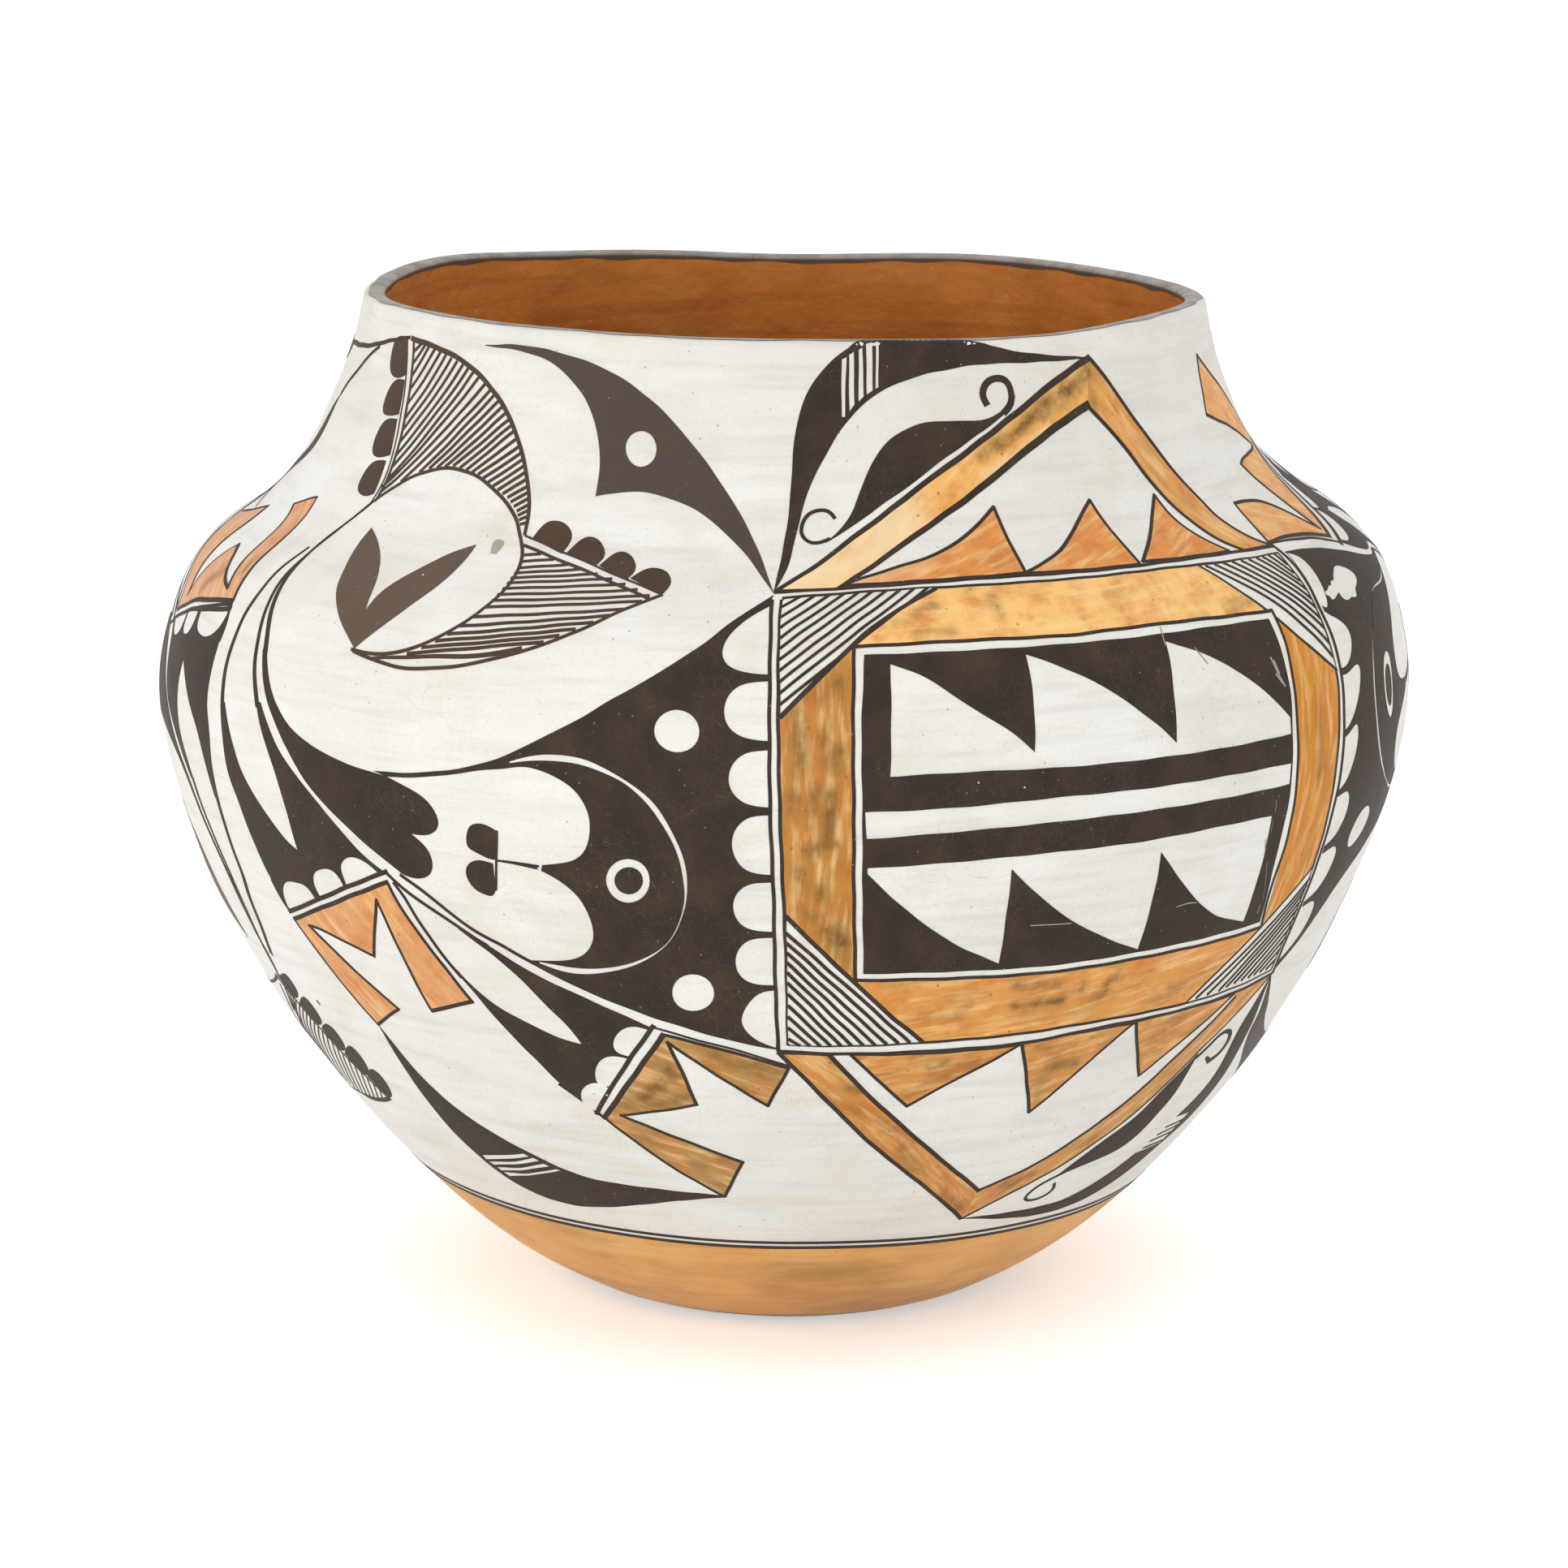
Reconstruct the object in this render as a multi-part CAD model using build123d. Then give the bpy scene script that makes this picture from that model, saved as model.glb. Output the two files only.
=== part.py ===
"""Coil-built pueblo water jar, in millimetres, standing on Z = 0 with its axis on Z.

The clay body is a bowl formed in a puki (the potter's base mould), a stack of clay
coils lapped inside one another, and a rim coil trimmed a little out of level.
Slip coats lie over it: white above the base line, orange below it, orange in the neck.
"""

import os
from math import atan2, degrees

from build123d import *

# Driving sizes: the belly's radius, and the height to the high side of the rim
BELLY_RADIUS = 152.5
JAR_HEIGHT = 245.0

# Finished outline from the foot up, as shares of the belly's radius and of the height
FOOT = (0.333, 0.0)
HEEL = (0.447, 0.041)
LOWER = (0.599, 0.122)
FLANK = (0.762, 0.245)
BODY = (0.913, 0.408)
UPPER = (0.981, 0.531)
BELLY = (1.0, 0.612)
SHOULDER = (0.976, 0.694)
EDGE = (0.936, 0.745)
SLOPE = (0.835, 0.796)
NECK = (0.753, 0.847)
COLLAR = (0.712, 0.898)
MOUTH = (0.677, 0.959)
RIM = (0.665, 1.0)
OUTLINE = (FOOT, HEEL, LOWER, FLANK, BODY, UPPER, BELLY, SHOULDER, EDGE, SLOPE, NECK, COLLAR, MOUTH, RIM)

# Clay and slip
WALL = 4.6
LIP_WALL = 3.4
SLIP = 0.5
LINING = 0.5

# Base
FOOT_ROUNDING = 12.0
FLOOR_HEIGHT = 12.0
DIMPLE_RADIUS = 31.0
DIMPLE_DEPTH = 4.0

# Coil courses
PUKI_HEIGHT = 36.0
COIL_COUNT = 11
RIM_COIL_DEPTH = 19.0
JOINT_LAP = 4.0
PILLOW = 0.7

# Slip limits
BASE_LINE_HEIGHT = 31.0
SLIP_START_HEIGHT = 2.5
LINED_COILS = 3

# Rim, which is low on the +X side
RIM_DROP = 2.6
LIP_ROUNDING = 1.3

# Length that the outline runs past the foot and the rim
TRIM = 5.0

# How finely the offset curves follow the outline
OFFSET_SAMPLES = 20
SHARE_TOLERANCE = 1e-6


def section_point(radius, height):
    return Vector(radius, 0, height)


def finished_outline():
    """The jar's outer profile, carried past the foot and the rim by what is trimmed off."""
    points = [section_point(BELLY_RADIUS * radius, JAR_HEIGHT * height) for radius, height in OUTLINE]
    foot_end = points[0] + (points[0] - points[1]).normalized() * TRIM
    rim_end = points[-1] + (points[-1] - points[-2]).normalized() * TRIM
    return Spline(foot_end, *points, rim_end)


def inward(curve, share):
    """Unit normal that points into the jar, at a share of the curve's length."""
    tangent = curve.tangent_at(share)
    return Vector(-tangent.Z, 0, tangent.X)


def share_at_height(curve, height):
    """Share of a rising curve's length at which it reaches a height."""
    low, high = 0.0, 1.0
    while high - low > SHARE_TOLERANCE:
        middle = (low + high) / 2
        if curve.position_at(middle).Z < height:
            low = middle
        else:
            high = middle
    return (low + high) / 2


FINISHED = finished_outline()
CLAY = Spline(
    *[
        FINISHED.position_at(i / OFFSET_SAMPLES) + inward(FINISHED, i / OFFSET_SAMPLES) * SLIP
        for i in range(OFFSET_SAMPLES + 1)
    ]
)
LAP_SHARE = JOINT_LAP / CLAY.length


def clay_wall_at(share):
    """Clay thickness: even up to the neck, then thinned to the lip."""
    height = CLAY.position_at(share).Z
    neck_height = JAR_HEIGHT * NECK[1]
    thinned = min(max((height - neck_height) / (JAR_HEIGHT - neck_height), 0), 1)
    return WALL + (LIP_WALL - WALL) * thinned


def inside_point(share, extra=0.0):
    """Point on the jar's inner face, or that much further in."""
    return CLAY.position_at(share) + inward(CLAY, share) * (clay_wall_at(share) + extra)


def coil_joints():
    """Shares of the clay curve's length at which one course meets the next."""
    first = share_at_height(CLAY, PUKI_HEIGHT)
    last = share_at_height(CLAY, JAR_HEIGHT - RIM_COIL_DEPTH)
    return [first + (last - first) * i / COIL_COUNT for i in range(COIL_COUNT + 1)]


JOINTS = coil_joints()
SLIP_START = share_at_height(FINISHED, SLIP_START_HEIGHT)
BASE_LINE = share_at_height(FINISHED, BASE_LINE_HEIGHT)


def trimmed_run(curve, shares):
    """Consecutive pieces of a curve between shares of its length."""
    return [curve.trim(low, high) for low, high in zip(shares, shares[1:])]


def inner_arc(low, high, extra=0.0):
    """Pillowed inner face of a course, from its upper joint down to its lower one."""
    low_share, high_share = low - LAP_SHARE, high - LAP_SHARE
    top = inside_point(high_share, extra)
    bottom = inside_point(low_share, extra)
    middle = (top + bottom) / 2 + inward(CLAY, (low_share + high_share) / 2) * PILLOW
    return ThreePointArc(top, middle, bottom)


def rim_inner_face(extra=0.0):
    """Inner face of the rim coil, from the trimmed top down to its lap."""
    return Spline(
        inside_point(1, extra),
        inside_point((1 + JOINTS[-1]) / 2, extra),
        inside_point(JOINTS[-1] - LAP_SHARE, extra),
    )


def turned(*edges):
    """Solid of revolution about the jar's axis from a closed section."""
    return Solid.revolve(Face(Wire(edges)), 360, Axis.Z)


def rim_plane(lowered=0.0):
    """The plane that the rim is trimmed to, out of level by RIM_DROP across the mouth."""
    middle = JAR_HEIGHT - RIM_DROP / 2 - lowered
    tilt = degrees(atan2(RIM_DROP, 2 * BELLY_RADIUS * RIM[0]))
    return Plane.XY.offset(middle).rotated((0, tilt, 0))


def trimmed(solid, plane):
    """The part of a solid below a plane."""
    return solid.split(plane, keep=Keep.BOTTOM)


def puki_base():
    """Bowl pressed in the puki, with a flat rest ring round a shallow dimple."""
    joint = JOINTS[0]
    wall = trimmed_run(CLAY, [0.0, SLIP_START, BASE_LINE, joint])
    under_edge = wall[0].position_at(0)
    under_middle = section_point(0, under_edge.Z)
    floor_middle = section_point(0, FLOOR_HEIGHT)
    inner_lap = inside_point(joint - LAP_SHARE)
    bowl = Spline(
        inner_lap,
        inside_point((share_at_height(CLAY, 0) + joint - LAP_SHARE) / 2),
        section_point(DIMPLE_RADIUS, FLOOR_HEIGHT),
        floor_middle,
        tangents=[CLAY.tangent_at(joint - LAP_SHARE) * -1, Vector(-1, 0, 0)],
    )
    blank = turned(
        Line(under_middle, under_edge),
        *wall,
        Line(wall[-1].position_at(1), inner_lap),
        bowl,
        Line(floor_middle, under_middle),
    )
    dimple_sphere = (DIMPLE_RADIUS**2 + DIMPLE_DEPTH**2) / (2 * DIMPLE_DEPTH)
    dimple = Solid.make_sphere(dimple_sphere, Plane.XY.offset(DIMPLE_DEPTH - dimple_sphere))
    base = (blank.split(Plane.XY, keep=Keep.TOP) - dimple).solid()
    rest_ring = base.faces().filter_by(GeomType.PLANE).sort_by(Axis.Z)[0]
    return base.fillet(FOOT_ROUNDING, rest_ring.edges())


def coil(low, high):
    """One course of clay rope, lapped inside the course below it."""
    wall = CLAY.trim(low, high)
    inside = inner_arc(low, high)
    return turned(
        wall,
        Line(wall.position_at(1), inside.position_at(0)),
        inside,
        Line(inside.position_at(1), wall.position_at(0)),
    )


def rim_coil():
    """The last course, trimmed to the rim plane, with a rounded lip."""
    wall = CLAY.trim(JOINTS[-1], 1.0)
    inside = rim_inner_face()
    blank = turned(
        wall,
        Line(wall.position_at(1), inside.position_at(0)),
        inside,
        Line(inside.position_at(1), wall.position_at(0)),
    )
    plane = rim_plane()
    rim = trimmed(blank, plane)
    top = rim.faces().filter_by(GeomType.PLANE).sort_by(Axis.Z)[-1]
    return rim.fillet(LIP_ROUNDING, top.edges())


def slip_coat(shares):
    """A coat on the outer face, laid over the courses that end at these shares."""
    under = trimmed_run(CLAY, shares)
    over = trimmed_run(FINISHED, shares)
    return turned(
        *under,
        Line(under[-1].position_at(1), over[-1].position_at(1)),
        *[edge.reversed() for edge in reversed(over)],
        Line(over[0].position_at(0), under[0].position_at(0)),
    )


def white_slip():
    """White slip from the base line up to the lip's rounding."""
    return trimmed(slip_coat([BASE_LINE, *JOINTS, 1.0]), rim_plane(lowered=LIP_ROUNDING))


def underbody_slip():
    """Orange slip from just above the rest ring up to the base line."""
    return slip_coat([SLIP_START, BASE_LINE])


def neck_lining():
    """Orange slip inside the neck, over the rim coil and the top courses."""
    lined = list(zip(JOINTS, JOINTS[1:]))[-LINED_COILS:]
    bare = [rim_inner_face(), *[inner_arc(low, high) for low, high in reversed(lined)]]
    coated = [rim_inner_face(LINING), *[inner_arc(low, high, LINING) for low, high in reversed(lined)]]
    coat = turned(
        *bare,
        Line(bare[-1].position_at(1), coated[-1].position_at(1)),
        *[edge.reversed() for edge in reversed(coated)],
        Line(coated[0].position_at(0), bare[0].position_at(0)),
    )
    return trimmed(coat, rim_plane(lowered=LIP_ROUNDING))


def jar_nodes():
    nodes = {"puki_base": puki_base()}
    for number, (low, high) in enumerate(zip(JOINTS, JOINTS[1:]), start=1):
        nodes[f"coil_{number:02d}"] = coil(low, high)
    nodes["rim_coil"] = rim_coil()
    nodes["white_slip"] = white_slip()
    nodes["underbody_slip"] = underbody_slip()
    nodes["neck_lining"] = neck_lining()
    return nodes


os.makedirs("parts", exist_ok=True)
for name, shape in jar_nodes().items():
    shape.label = name
    export_step(shape, f"parts/{name}.step")
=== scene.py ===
"""Looks of the coil-built pueblo jar: slips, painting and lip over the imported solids, in metres.

The painting is placed by pixels of the photograph. A pixel's ray meets the jar's outer face at an
angle and at a length along its outline, and every shape is drawn on that unrolled sheet.
"""

from collections import namedtuple
from math import cos, pi, sin, tau

import bpy
import numpy as np
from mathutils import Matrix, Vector
from mathutils.bvhtree import BVHTree
from mathutils.geometry import delaunay_2d_cdt


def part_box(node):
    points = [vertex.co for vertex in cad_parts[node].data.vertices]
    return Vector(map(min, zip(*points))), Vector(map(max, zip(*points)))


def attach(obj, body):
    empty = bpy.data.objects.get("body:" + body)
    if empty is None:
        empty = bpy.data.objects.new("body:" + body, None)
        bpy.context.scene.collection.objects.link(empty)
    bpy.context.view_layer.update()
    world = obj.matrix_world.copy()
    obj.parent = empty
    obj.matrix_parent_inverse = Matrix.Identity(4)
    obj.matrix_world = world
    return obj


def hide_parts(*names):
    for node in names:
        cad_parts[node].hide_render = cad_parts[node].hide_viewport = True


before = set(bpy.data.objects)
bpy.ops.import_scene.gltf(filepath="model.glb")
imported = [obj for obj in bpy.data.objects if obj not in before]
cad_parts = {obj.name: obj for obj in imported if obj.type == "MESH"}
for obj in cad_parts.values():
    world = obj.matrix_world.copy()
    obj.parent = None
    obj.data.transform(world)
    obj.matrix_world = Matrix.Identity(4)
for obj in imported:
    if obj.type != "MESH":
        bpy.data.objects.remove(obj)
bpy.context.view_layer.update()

MM = 0.001

# The photograph's view: a square image, the camera's place and aim in metres, its lens in millimetres
IMAGE_SIZE = 1932
CAMERA_PLACE = Vector((0.0, -1.1814, 0.3731))
CAMERA_AIM = Vector((0.0, 0.0, 0.1216))
LENS = 112.2
SENSOR = 36.0
CLIP_START = 0.05

# Reading the outline from the solids
RAY_START = 1.0
RAY_TURNS = 9
OUTER_SKIN = 0.25 * MM
KNOT_SPACING = 1.5 * MM
TRIMMED_TOP = 5.0 * MM
RUN_ON = 3
OUTLINE_STEPS = 1200
RAY_REACH = (0.95, 1.5)
RAY_STEPS = 900
LEAST_DROP = 1e-9

# Rim: heights above its middle level, read round the mouth at angles from the front
RIM_LEVEL = 243.7 * MM
RIM_WAVES = (
    (-160, 0.3), (-137, 1.9), (-123, 3.1), (-90, 1.2), (-58, 1.15), (-41, 0.9), (-29, 0.7), (-17, 0.3),
    (14, -0.45), (37, -1.25), (56, -0.3), (90, -0.9), (128, -0.7), (145, -0.1), (161, -0.6), (180, -1.4),
)

# Sway of the outline to the right, by length along it, all in millimetres
SWAY = (
    (0, 0.8), (57, 0.78), (76, 0.7), (91, 0.5), (100, 0.0), (116, 0.0),
    (129, -0.4), (144, -0.15), (191, 0.1), (199, 0.35), (207, 0.78), (223, 1.4),
    (232, 2.15), (243, 1.1), (251, -0.15), (260, -0.6), (276, -0.35), (294, 0.0),
)

# Paint: brush widths, widths at the long lines' ends, how many times a stroke's run-on goes into its width,
# and how far the paint stands off the slip and sinks into it
FINE = 0.45 * MM
THIN = 0.55 * MM
HATCH = 0.7 * MM
LINE = 0.85 * MM
BASE = 1.1 * MM
BOLD = 1.3 * MM
HEAVY = 1.6 * MM
BROAD = 2.0 * MM
SCRATCH = 0.24 * MM
STRAND_ENDS = (1.7 * MM, 1.5 * MM, 1.65 * MM)
BRUSH_END = 3
PAINT_LIFT = 0.1 * MM
PAINT_SINK = 0.03 * MM

# Waver of the brush: its size, and in millimetres its waves up and across, each with the wave that bends it
TREMOR = 0.07 * MM
TREMOR_WAVES = ((1.9, 3.1), (2.3, 2.7))

# Net over the painted sheet
CURVE_STEP = 1.1 * MM
MESH_STEP = 4.0 * MM
MESH_ROW = 1.5 * MM
SMEAR_STEP = 1.2 * MM
SMEAR_REACH = 1.5
NET_TOLERANCE = 1e-5

# Dots, chips (in pixels), scallops, and the leaves that run out of sight
DOT_POINTS = 28
CHIP = 1.3
SCALLOP_POINTS = 9
SCALLOP_SQUARENESS = 0.62
NECK_LEAF_RUN = (-28 * MM, 1 * MM)
NECK_LEAF_BOW = (0, -6 * MM)
STRIP_BOW = (-9 * MM, 0)

# Lines above the underbody: rise and width of each, their height, tilt and turn, and the size and length
# of their waves
BASE_LINES = ((0.0, 1.25 * MM), (2.25 * MM, 1.1 * MM))
BASE_RISE = 1.0 * MM
BASE_TILT = 3.2 * MM
BASE_TURN = 0.25
BASE_WAVES = ((0.15 * MM, 31 * MM), (0.1 * MM, 13 * MM))

# Turned copy: a pair's reach, the doubt about it, its least weight, and the fans' shifts in front and behind
COPY_REACH = 16 * MM
COPY_DOUBT = 0.04
COPY_FACING = 0.06
FAN_SHIFTS = ((14 * MM, 0), (-2 * MM, 0))

# Skins
SKIN_TURNS = 320
SKIN_ROWS = 170
SKIN_DEPTH = 0.45 * MM
UNDERBODY_ROWS = 40
NECK_ROWS = 60
SLOPE_STEP = 0.2 * MM

# Lip
LIP_ROUND = 1.2 * MM
LIP_STEPS = 12
LIP_FACE_STEPS = 6
LIP_BURIED = 12 * MM
LIP_SLIP_DEPTH = 3 * MM
LIP_SLIP_END = 0.45 * pi
LIP_PAINT_START = 0.33 * pi
LIP_OVERLAP = 1.3
LIP_PAINT_DEPTH = 2.0 * MM
LIP_WAVER = 0.08
LIP_WAVES = ((11, 0), (23, 1), (37, 0))
LIP_SQUARENESS = 0.6
LIP_REACH = 5 * MM
LIP_ROW = 0.2 * MM
LIP_SLIP_SINK = 0.05 * MM
# Row of the lip's section from which its inner edge is painted darker, partly as painted shade
LIP_SHADED_EDGE_ROW = 10

# Hand-made faces: waves as millimetres, times round the jar, radians per metre up the outline, and start
LOBES = ((0.14, 2, 0, 0.7), (0.09, 3, 25, 0))
SCRAPES = ((0.07, 5, -60, 1.0), (0.05, 9, 95, 0))
DENTS = ((0.25, 7, 140, 0), (0.2, 13, -210, 0))
DENTS_FADE = 12 * MM
DENTS_START = 0.5
UNEVEN_FADE = 15 * MM
CORE_RADIUS = 30 * MM

# Washes: a paint's tone as 0 to 255 values, its share of dark smudges, and its strokes' lean in degrees
WASHES = {
    "ink": (58, 49, 43, 0.0, 0),
    "thin_ink": (78, 62, 52, 0.0, 0),
    # pale_ink: the black paint lightened to grey-brown as painted sheen on the fin's upward-facing part of
    # the shoulder
    "pale_ink": (82, 71, 66, 0.0, 0),
    "worn_ink": (104, 86, 75, 0.0, 0),
    "stain": (186, 172, 148, 0.0, 0),
    "scuff": (168, 172, 174, 0.0, 0),
    "left_bar": (195, 135, 61, 0.5, 88),
    "top_bar": (255, 202, 124, 0.12, 5),
    "right_bar": (212, 138, 26, 0.3, 85),
    "bottom_bar": (225, 158, 82, 0.35, 6),
    "rising_arm": (244, 184, 102, 0.12, 38),
    "falling_arm": (226, 163, 88, 0.3, -52),
    "upper_teeth": (230, 152, 80, 0.2, 20),
    "low_falling_arm": (209, 147, 77, 0.6, -42),
    "low_rising_arm": (207, 148, 80, 0.6, 40),
    "lower_teeth": (214, 150, 78, 0.65, 10),
    "left_zigzag": (223, 160, 105, 0.12, -50),
    "right_zigzag": (182, 139, 82, 0.55, -20),
    "turned_left_zigzag": (222, 162, 120, 0.12, -50),
    "turned_right_zigzag": (236, 170, 98, 0.15, -20),
}
COPY_WASHES = {"left_zigzag": "turned_left_zigzag", "right_zigzag": "turned_right_zigzag"}
Shape = namedtuple("Shape", "colour outline wash")

# Dark smears on the orange paint, and pale ones of strength below 0: half width in millimetres, strength, and
# pixels of the photograph along it
SMEARS = (
    (9.0, -0.9, ((965, 722), (1010, 703), (1060, 680), (1110, 646))),
    (2.4, -0.6, ((1215, 583), (1245, 560), (1280, 530))),
    (1.6, -0.5, ((1380, 515), (1400, 548), (1430, 582))),
    (2.6, 0.85, ((1338, 458), (1325, 475), (1300, 492), (1270, 518), (1240, 545), (1212, 562))),
    (1.6, 0.7, ((1345, 488), (1349, 497))),
    (1.2, 0.5, ((1375, 505), (1390, 535), (1410, 565), (1435, 597))),
    (1.8, 0.3, ((1035, 688), (1070, 668))), (2.0, 0.85, ((793, 1351), (815, 1338))),
    (1.6, 0.85, ((825, 1318), (829, 1327))), (1.4, 0.6, ((800, 1363), (830, 1356), (845, 1350))),
    (1.3, 0.5, ((806, 1302), (810, 1308))),
    (1.5, 0.6, ((880, 1300), (905, 1312), (940, 1318), (960, 1322))),
    (2.6, 0.55, ((1010, 858), (1025, 847), (1033, 838))),
    (2.2, 0.6, ((980, 880), (985, 905), (985, 948))), (1.8, 0.75, ((977, 982), (979, 1002))),
    (1.4, 0.5, ((1013, 905), (1015, 915))), (1.7, 0.7, ((1033, 925), (1029, 945))),
    (1.7, 0.8, ((1024, 980), (1022, 1010), (1020, 1036))), (1.5, 0.65, ((1004, 968), (999, 1015))),
    (1.5, 0.85, ((992, 1048), (1010, 1046), (1028, 1042))), (1.4, 0.6, ((984, 1075), (985, 1098))),
    (1.4, 0.75, ((1010, 1096), (1011, 1107))), (1.8, 0.4, ((985, 1118), (1000, 1132))),
    (2.6, 0.8, ((1020, 1148), (1033, 1157), (1038, 1165))), (1.6, 0.4, ((1105, 768), (1150, 746))),
    (1.5, 0.45, ((1222, 734), (1234, 760))), (1.4, 0.4, ((1130, 781), (1172, 778))),
    (1.6, 0.4, ((1520, 744), (1542, 741))), (1.3, 0.5, ((1626, 880), (1626, 930), (1623, 965))),
    (1.4, 0.85, ((1250, 1239), (1280, 1236), (1309, 1233))), (1.6, 0.55, ((1252, 1214), (1305, 1212))),
    (1.4, 0.75, ((1376, 1204), (1366, 1210), (1358, 1224), (1349, 1226))),
    (0.9, 0.6, ((1336, 1211), (1333, 1219))), (1.5, 0.55, ((1441, 1219), (1458, 1214))),
    (1.2, 0.4, ((1181, 1249), (1195, 1239))), (1.7, 0.55, ((1046, 1340), (1058, 1344))),
    (1.7, 0.45, ((1062, 1363), (1094, 1388))), (1.4, 0.5, ((1110, 1415), (1128, 1430))),
    (1.6, 0.6, ((1174, 1478), (1183, 1488))), (1.5, 0.6, ((1238, 1460), (1272, 1446))),
    (1.8, 0.6, ((1148, 1314), (1163, 1310))), (1.7, 0.65, ((1300, 1314), (1326, 1309))),
    (1.5, 0.4, ((1278, 1352), (1281, 1364))), (1.7, 0.5, ((1280, 1291), (1296, 1289))),
    (1.6, 0.55, ((250, 723), (262, 712), (274, 705))), (1.4, 0.6, ((300, 703), (313, 689))),
)

# Stage: the floor's half width and its glow to the camera, light from all round, and the lamps' name, place,
# size and power
FLOOR_SIZE = 6.0
FLOOR_GLOW = 0.42
FLOOR_ROUGHNESS = 0.8
PLAIN_WHITE = (1.0, 1.0, 1.0, 1.0)
WORLD_HORIZON = 1.12
WORLD_ZENITH = 0.68
LAMPS = (("key", (-1.8, -1.5, 0.8), 1.4, 9.0), ("low", (0.1, -2.4, 0.4), 0.9, 5.0))

# How a screen's levels run with light, and the places of a colour blend's share, two colours and result
SCREEN_MOST = 255
SCREEN_KNEE = 0.04045
SCREEN_SLOPE = 12.92
SCREEN_OFFSET = 0.055
SCREEN_POWER = 2.4
MIX_SOCKETS = (0, 6, 7)
MIX_RESULT = 2

# Heights between which the slip gets greyer towards the mouth
SOILED_FROM = 195 * MM
SOILED_TO = 230 * MM

# Stretches of a finish's noise: round the jar, less so, along the strokes of a wash, and less so
ROUND_JAR = (0.07, 0.07, 1.0)
LONG_ROUND_JAR = (0.3, 0.3, 1.0)
LENGTHWISE = (0.14, 1.0)
PATCHES = (0.45, 1.0)

BARE, WHITE, BLACK, ORANGE = range(4)


def smooth_function(knots, values):
    """Natural cubic spline through values at rising knots."""
    knots = np.asarray(knots, float)
    values = np.asarray(values, float)
    gaps = np.diff(knots)
    count = len(knots)
    system = np.eye(count)
    target = np.zeros(count)
    for i in range(1, count - 1):
        system[i, i - 1 : i + 2] = gaps[i - 1], 2 * (gaps[i - 1] + gaps[i]), gaps[i]
        target[i] = 6 * ((values[i + 1] - values[i]) / gaps[i] - (values[i] - values[i - 1]) / gaps[i - 1])
    bends = np.linalg.solve(system, target)

    def value_at(place):
        place = np.asarray(place, float)
        i = np.clip(np.searchsorted(knots, place) - 1, 0, count - 2)
        low, high = knots[i + 1] - place, place - knots[i]
        gap = gaps[i]
        cubic = (bends[i] * low**3 + bends[i + 1] * high**3) / (6 * gap)
        left = (values[i] / gap - bends[i] * gap / 6) * low
        right = (values[i + 1] / gap - bends[i + 1] * gap / 6) * high
        return cubic + left + right

    return value_at


def round_function(knots):
    """Smooth function of the angle round the jar through values at angles in degrees."""
    angles = np.radians([angle for angle, _ in knots])
    values = [value for _, value in knots]
    return smooth_function(np.concatenate([angles - tau, angles, angles + tau]), np.tile(values, 3))


RIM_BY_ANGLE = round_function(RIM_WAVES)
SWAY_BY_LENGTH = smooth_function(*zip(*SWAY))


def node_points(*names):
    """Radius and height of the vertices of CAD nodes."""
    places = [vertex.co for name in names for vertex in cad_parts[name].data.vertices]
    return np.array([(place.xy.length, place.z) for place in places])


def node_tree(*names):
    """Ray-cast tree over CAD nodes."""
    vertices, faces = [], []
    for name in names:
        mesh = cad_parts[name].data
        first = len(vertices)
        vertices += [vertex.co.copy() for vertex in mesh.vertices]
        faces += [[first + index for index in polygon.vertices] for polygon in mesh.polygons]
    return BVHTree.FromPolygons(vertices, faces)


def seen_radius(tree, height, from_axis):
    """Radius of the face that is seen at a height, from the axis or from outside."""
    radii = []
    for turn in range(RAY_TURNS):
        outward = Vector((cos(tau * turn / RAY_TURNS), sin(tau * turn / RAY_TURNS), 0))
        axis = Vector((0, 0, height))
        start, way = (axis, outward) if from_axis else (axis + outward * RAY_START, -outward)
        hit = tree.ray_cast(start, way)[0]
        if hit is not None:
            radii.append(hit.xy.length)
    return max(radii) if radii else None


def face_knots(names, from_axis):
    """Radius and height of a face's rows of vertices, from the lowest up."""
    tree = node_tree(*names)
    points = node_points(*names)
    points = points[np.argsort(points[:, 1])]
    top = points[-1, 1] - TRIMMED_TOP
    knots = []
    for radius, height in points:
        if height > top or (knots and height < knots[-1][1] + KNOT_SPACING):
            continue
        seen = seen_radius(tree, height, from_axis)
        if seen is not None and abs(radius - seen) < OUTER_SKIN:
            knots.append((radius, height))
    return np.array(knots)


class Outline:
    """Profile of a face of the jar, run as radius and height by length along it."""

    def __init__(self, knots):
        length = np.concatenate([[0], np.cumsum(np.hypot(*np.diff(knots, axis=0).T))])
        top_slope = (knots[-1] - knots[-2]) / (length[-1] - length[-2])
        knots = np.vstack([knots, knots[-1] + top_slope * RUN_ON * TRIMMED_TOP])
        length = np.append(length, length[-1] + RUN_ON * TRIMMED_TOP)
        self.radius = smooth_function(length, knots[:, 0])
        self.height = smooth_function(length, knots[:, 1])
        self.lengths = np.linspace(0, length[-1], OUTLINE_STEPS)
        self.radii = self.radius(self.lengths)
        self.heights = self.height(self.lengths)

    def radius_at_height(self, height):
        return np.interp(height, self.heights, self.radii)

    def length_at_height(self, height):
        return np.interp(height, self.heights, self.lengths)


OUTER = Outline(face_knots(["white_slip", "underbody_slip"], from_axis=False))
INNER = Outline(face_knots(["neck_lining"], from_axis=True))
GIRTH = OUTER.radii.max()
BASE_LINE = OUTER.length_at_height(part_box("white_slip")[0].z)
SHEET_TURN = tau * GIRTH


def view_axes():
    """The camera's right, up and forward directions."""
    forward = (CAMERA_AIM - CAMERA_PLACE).normalized()
    right = forward.cross(Vector((0, 0, 1))).normalized()
    return right, right.cross(forward), forward


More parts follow.
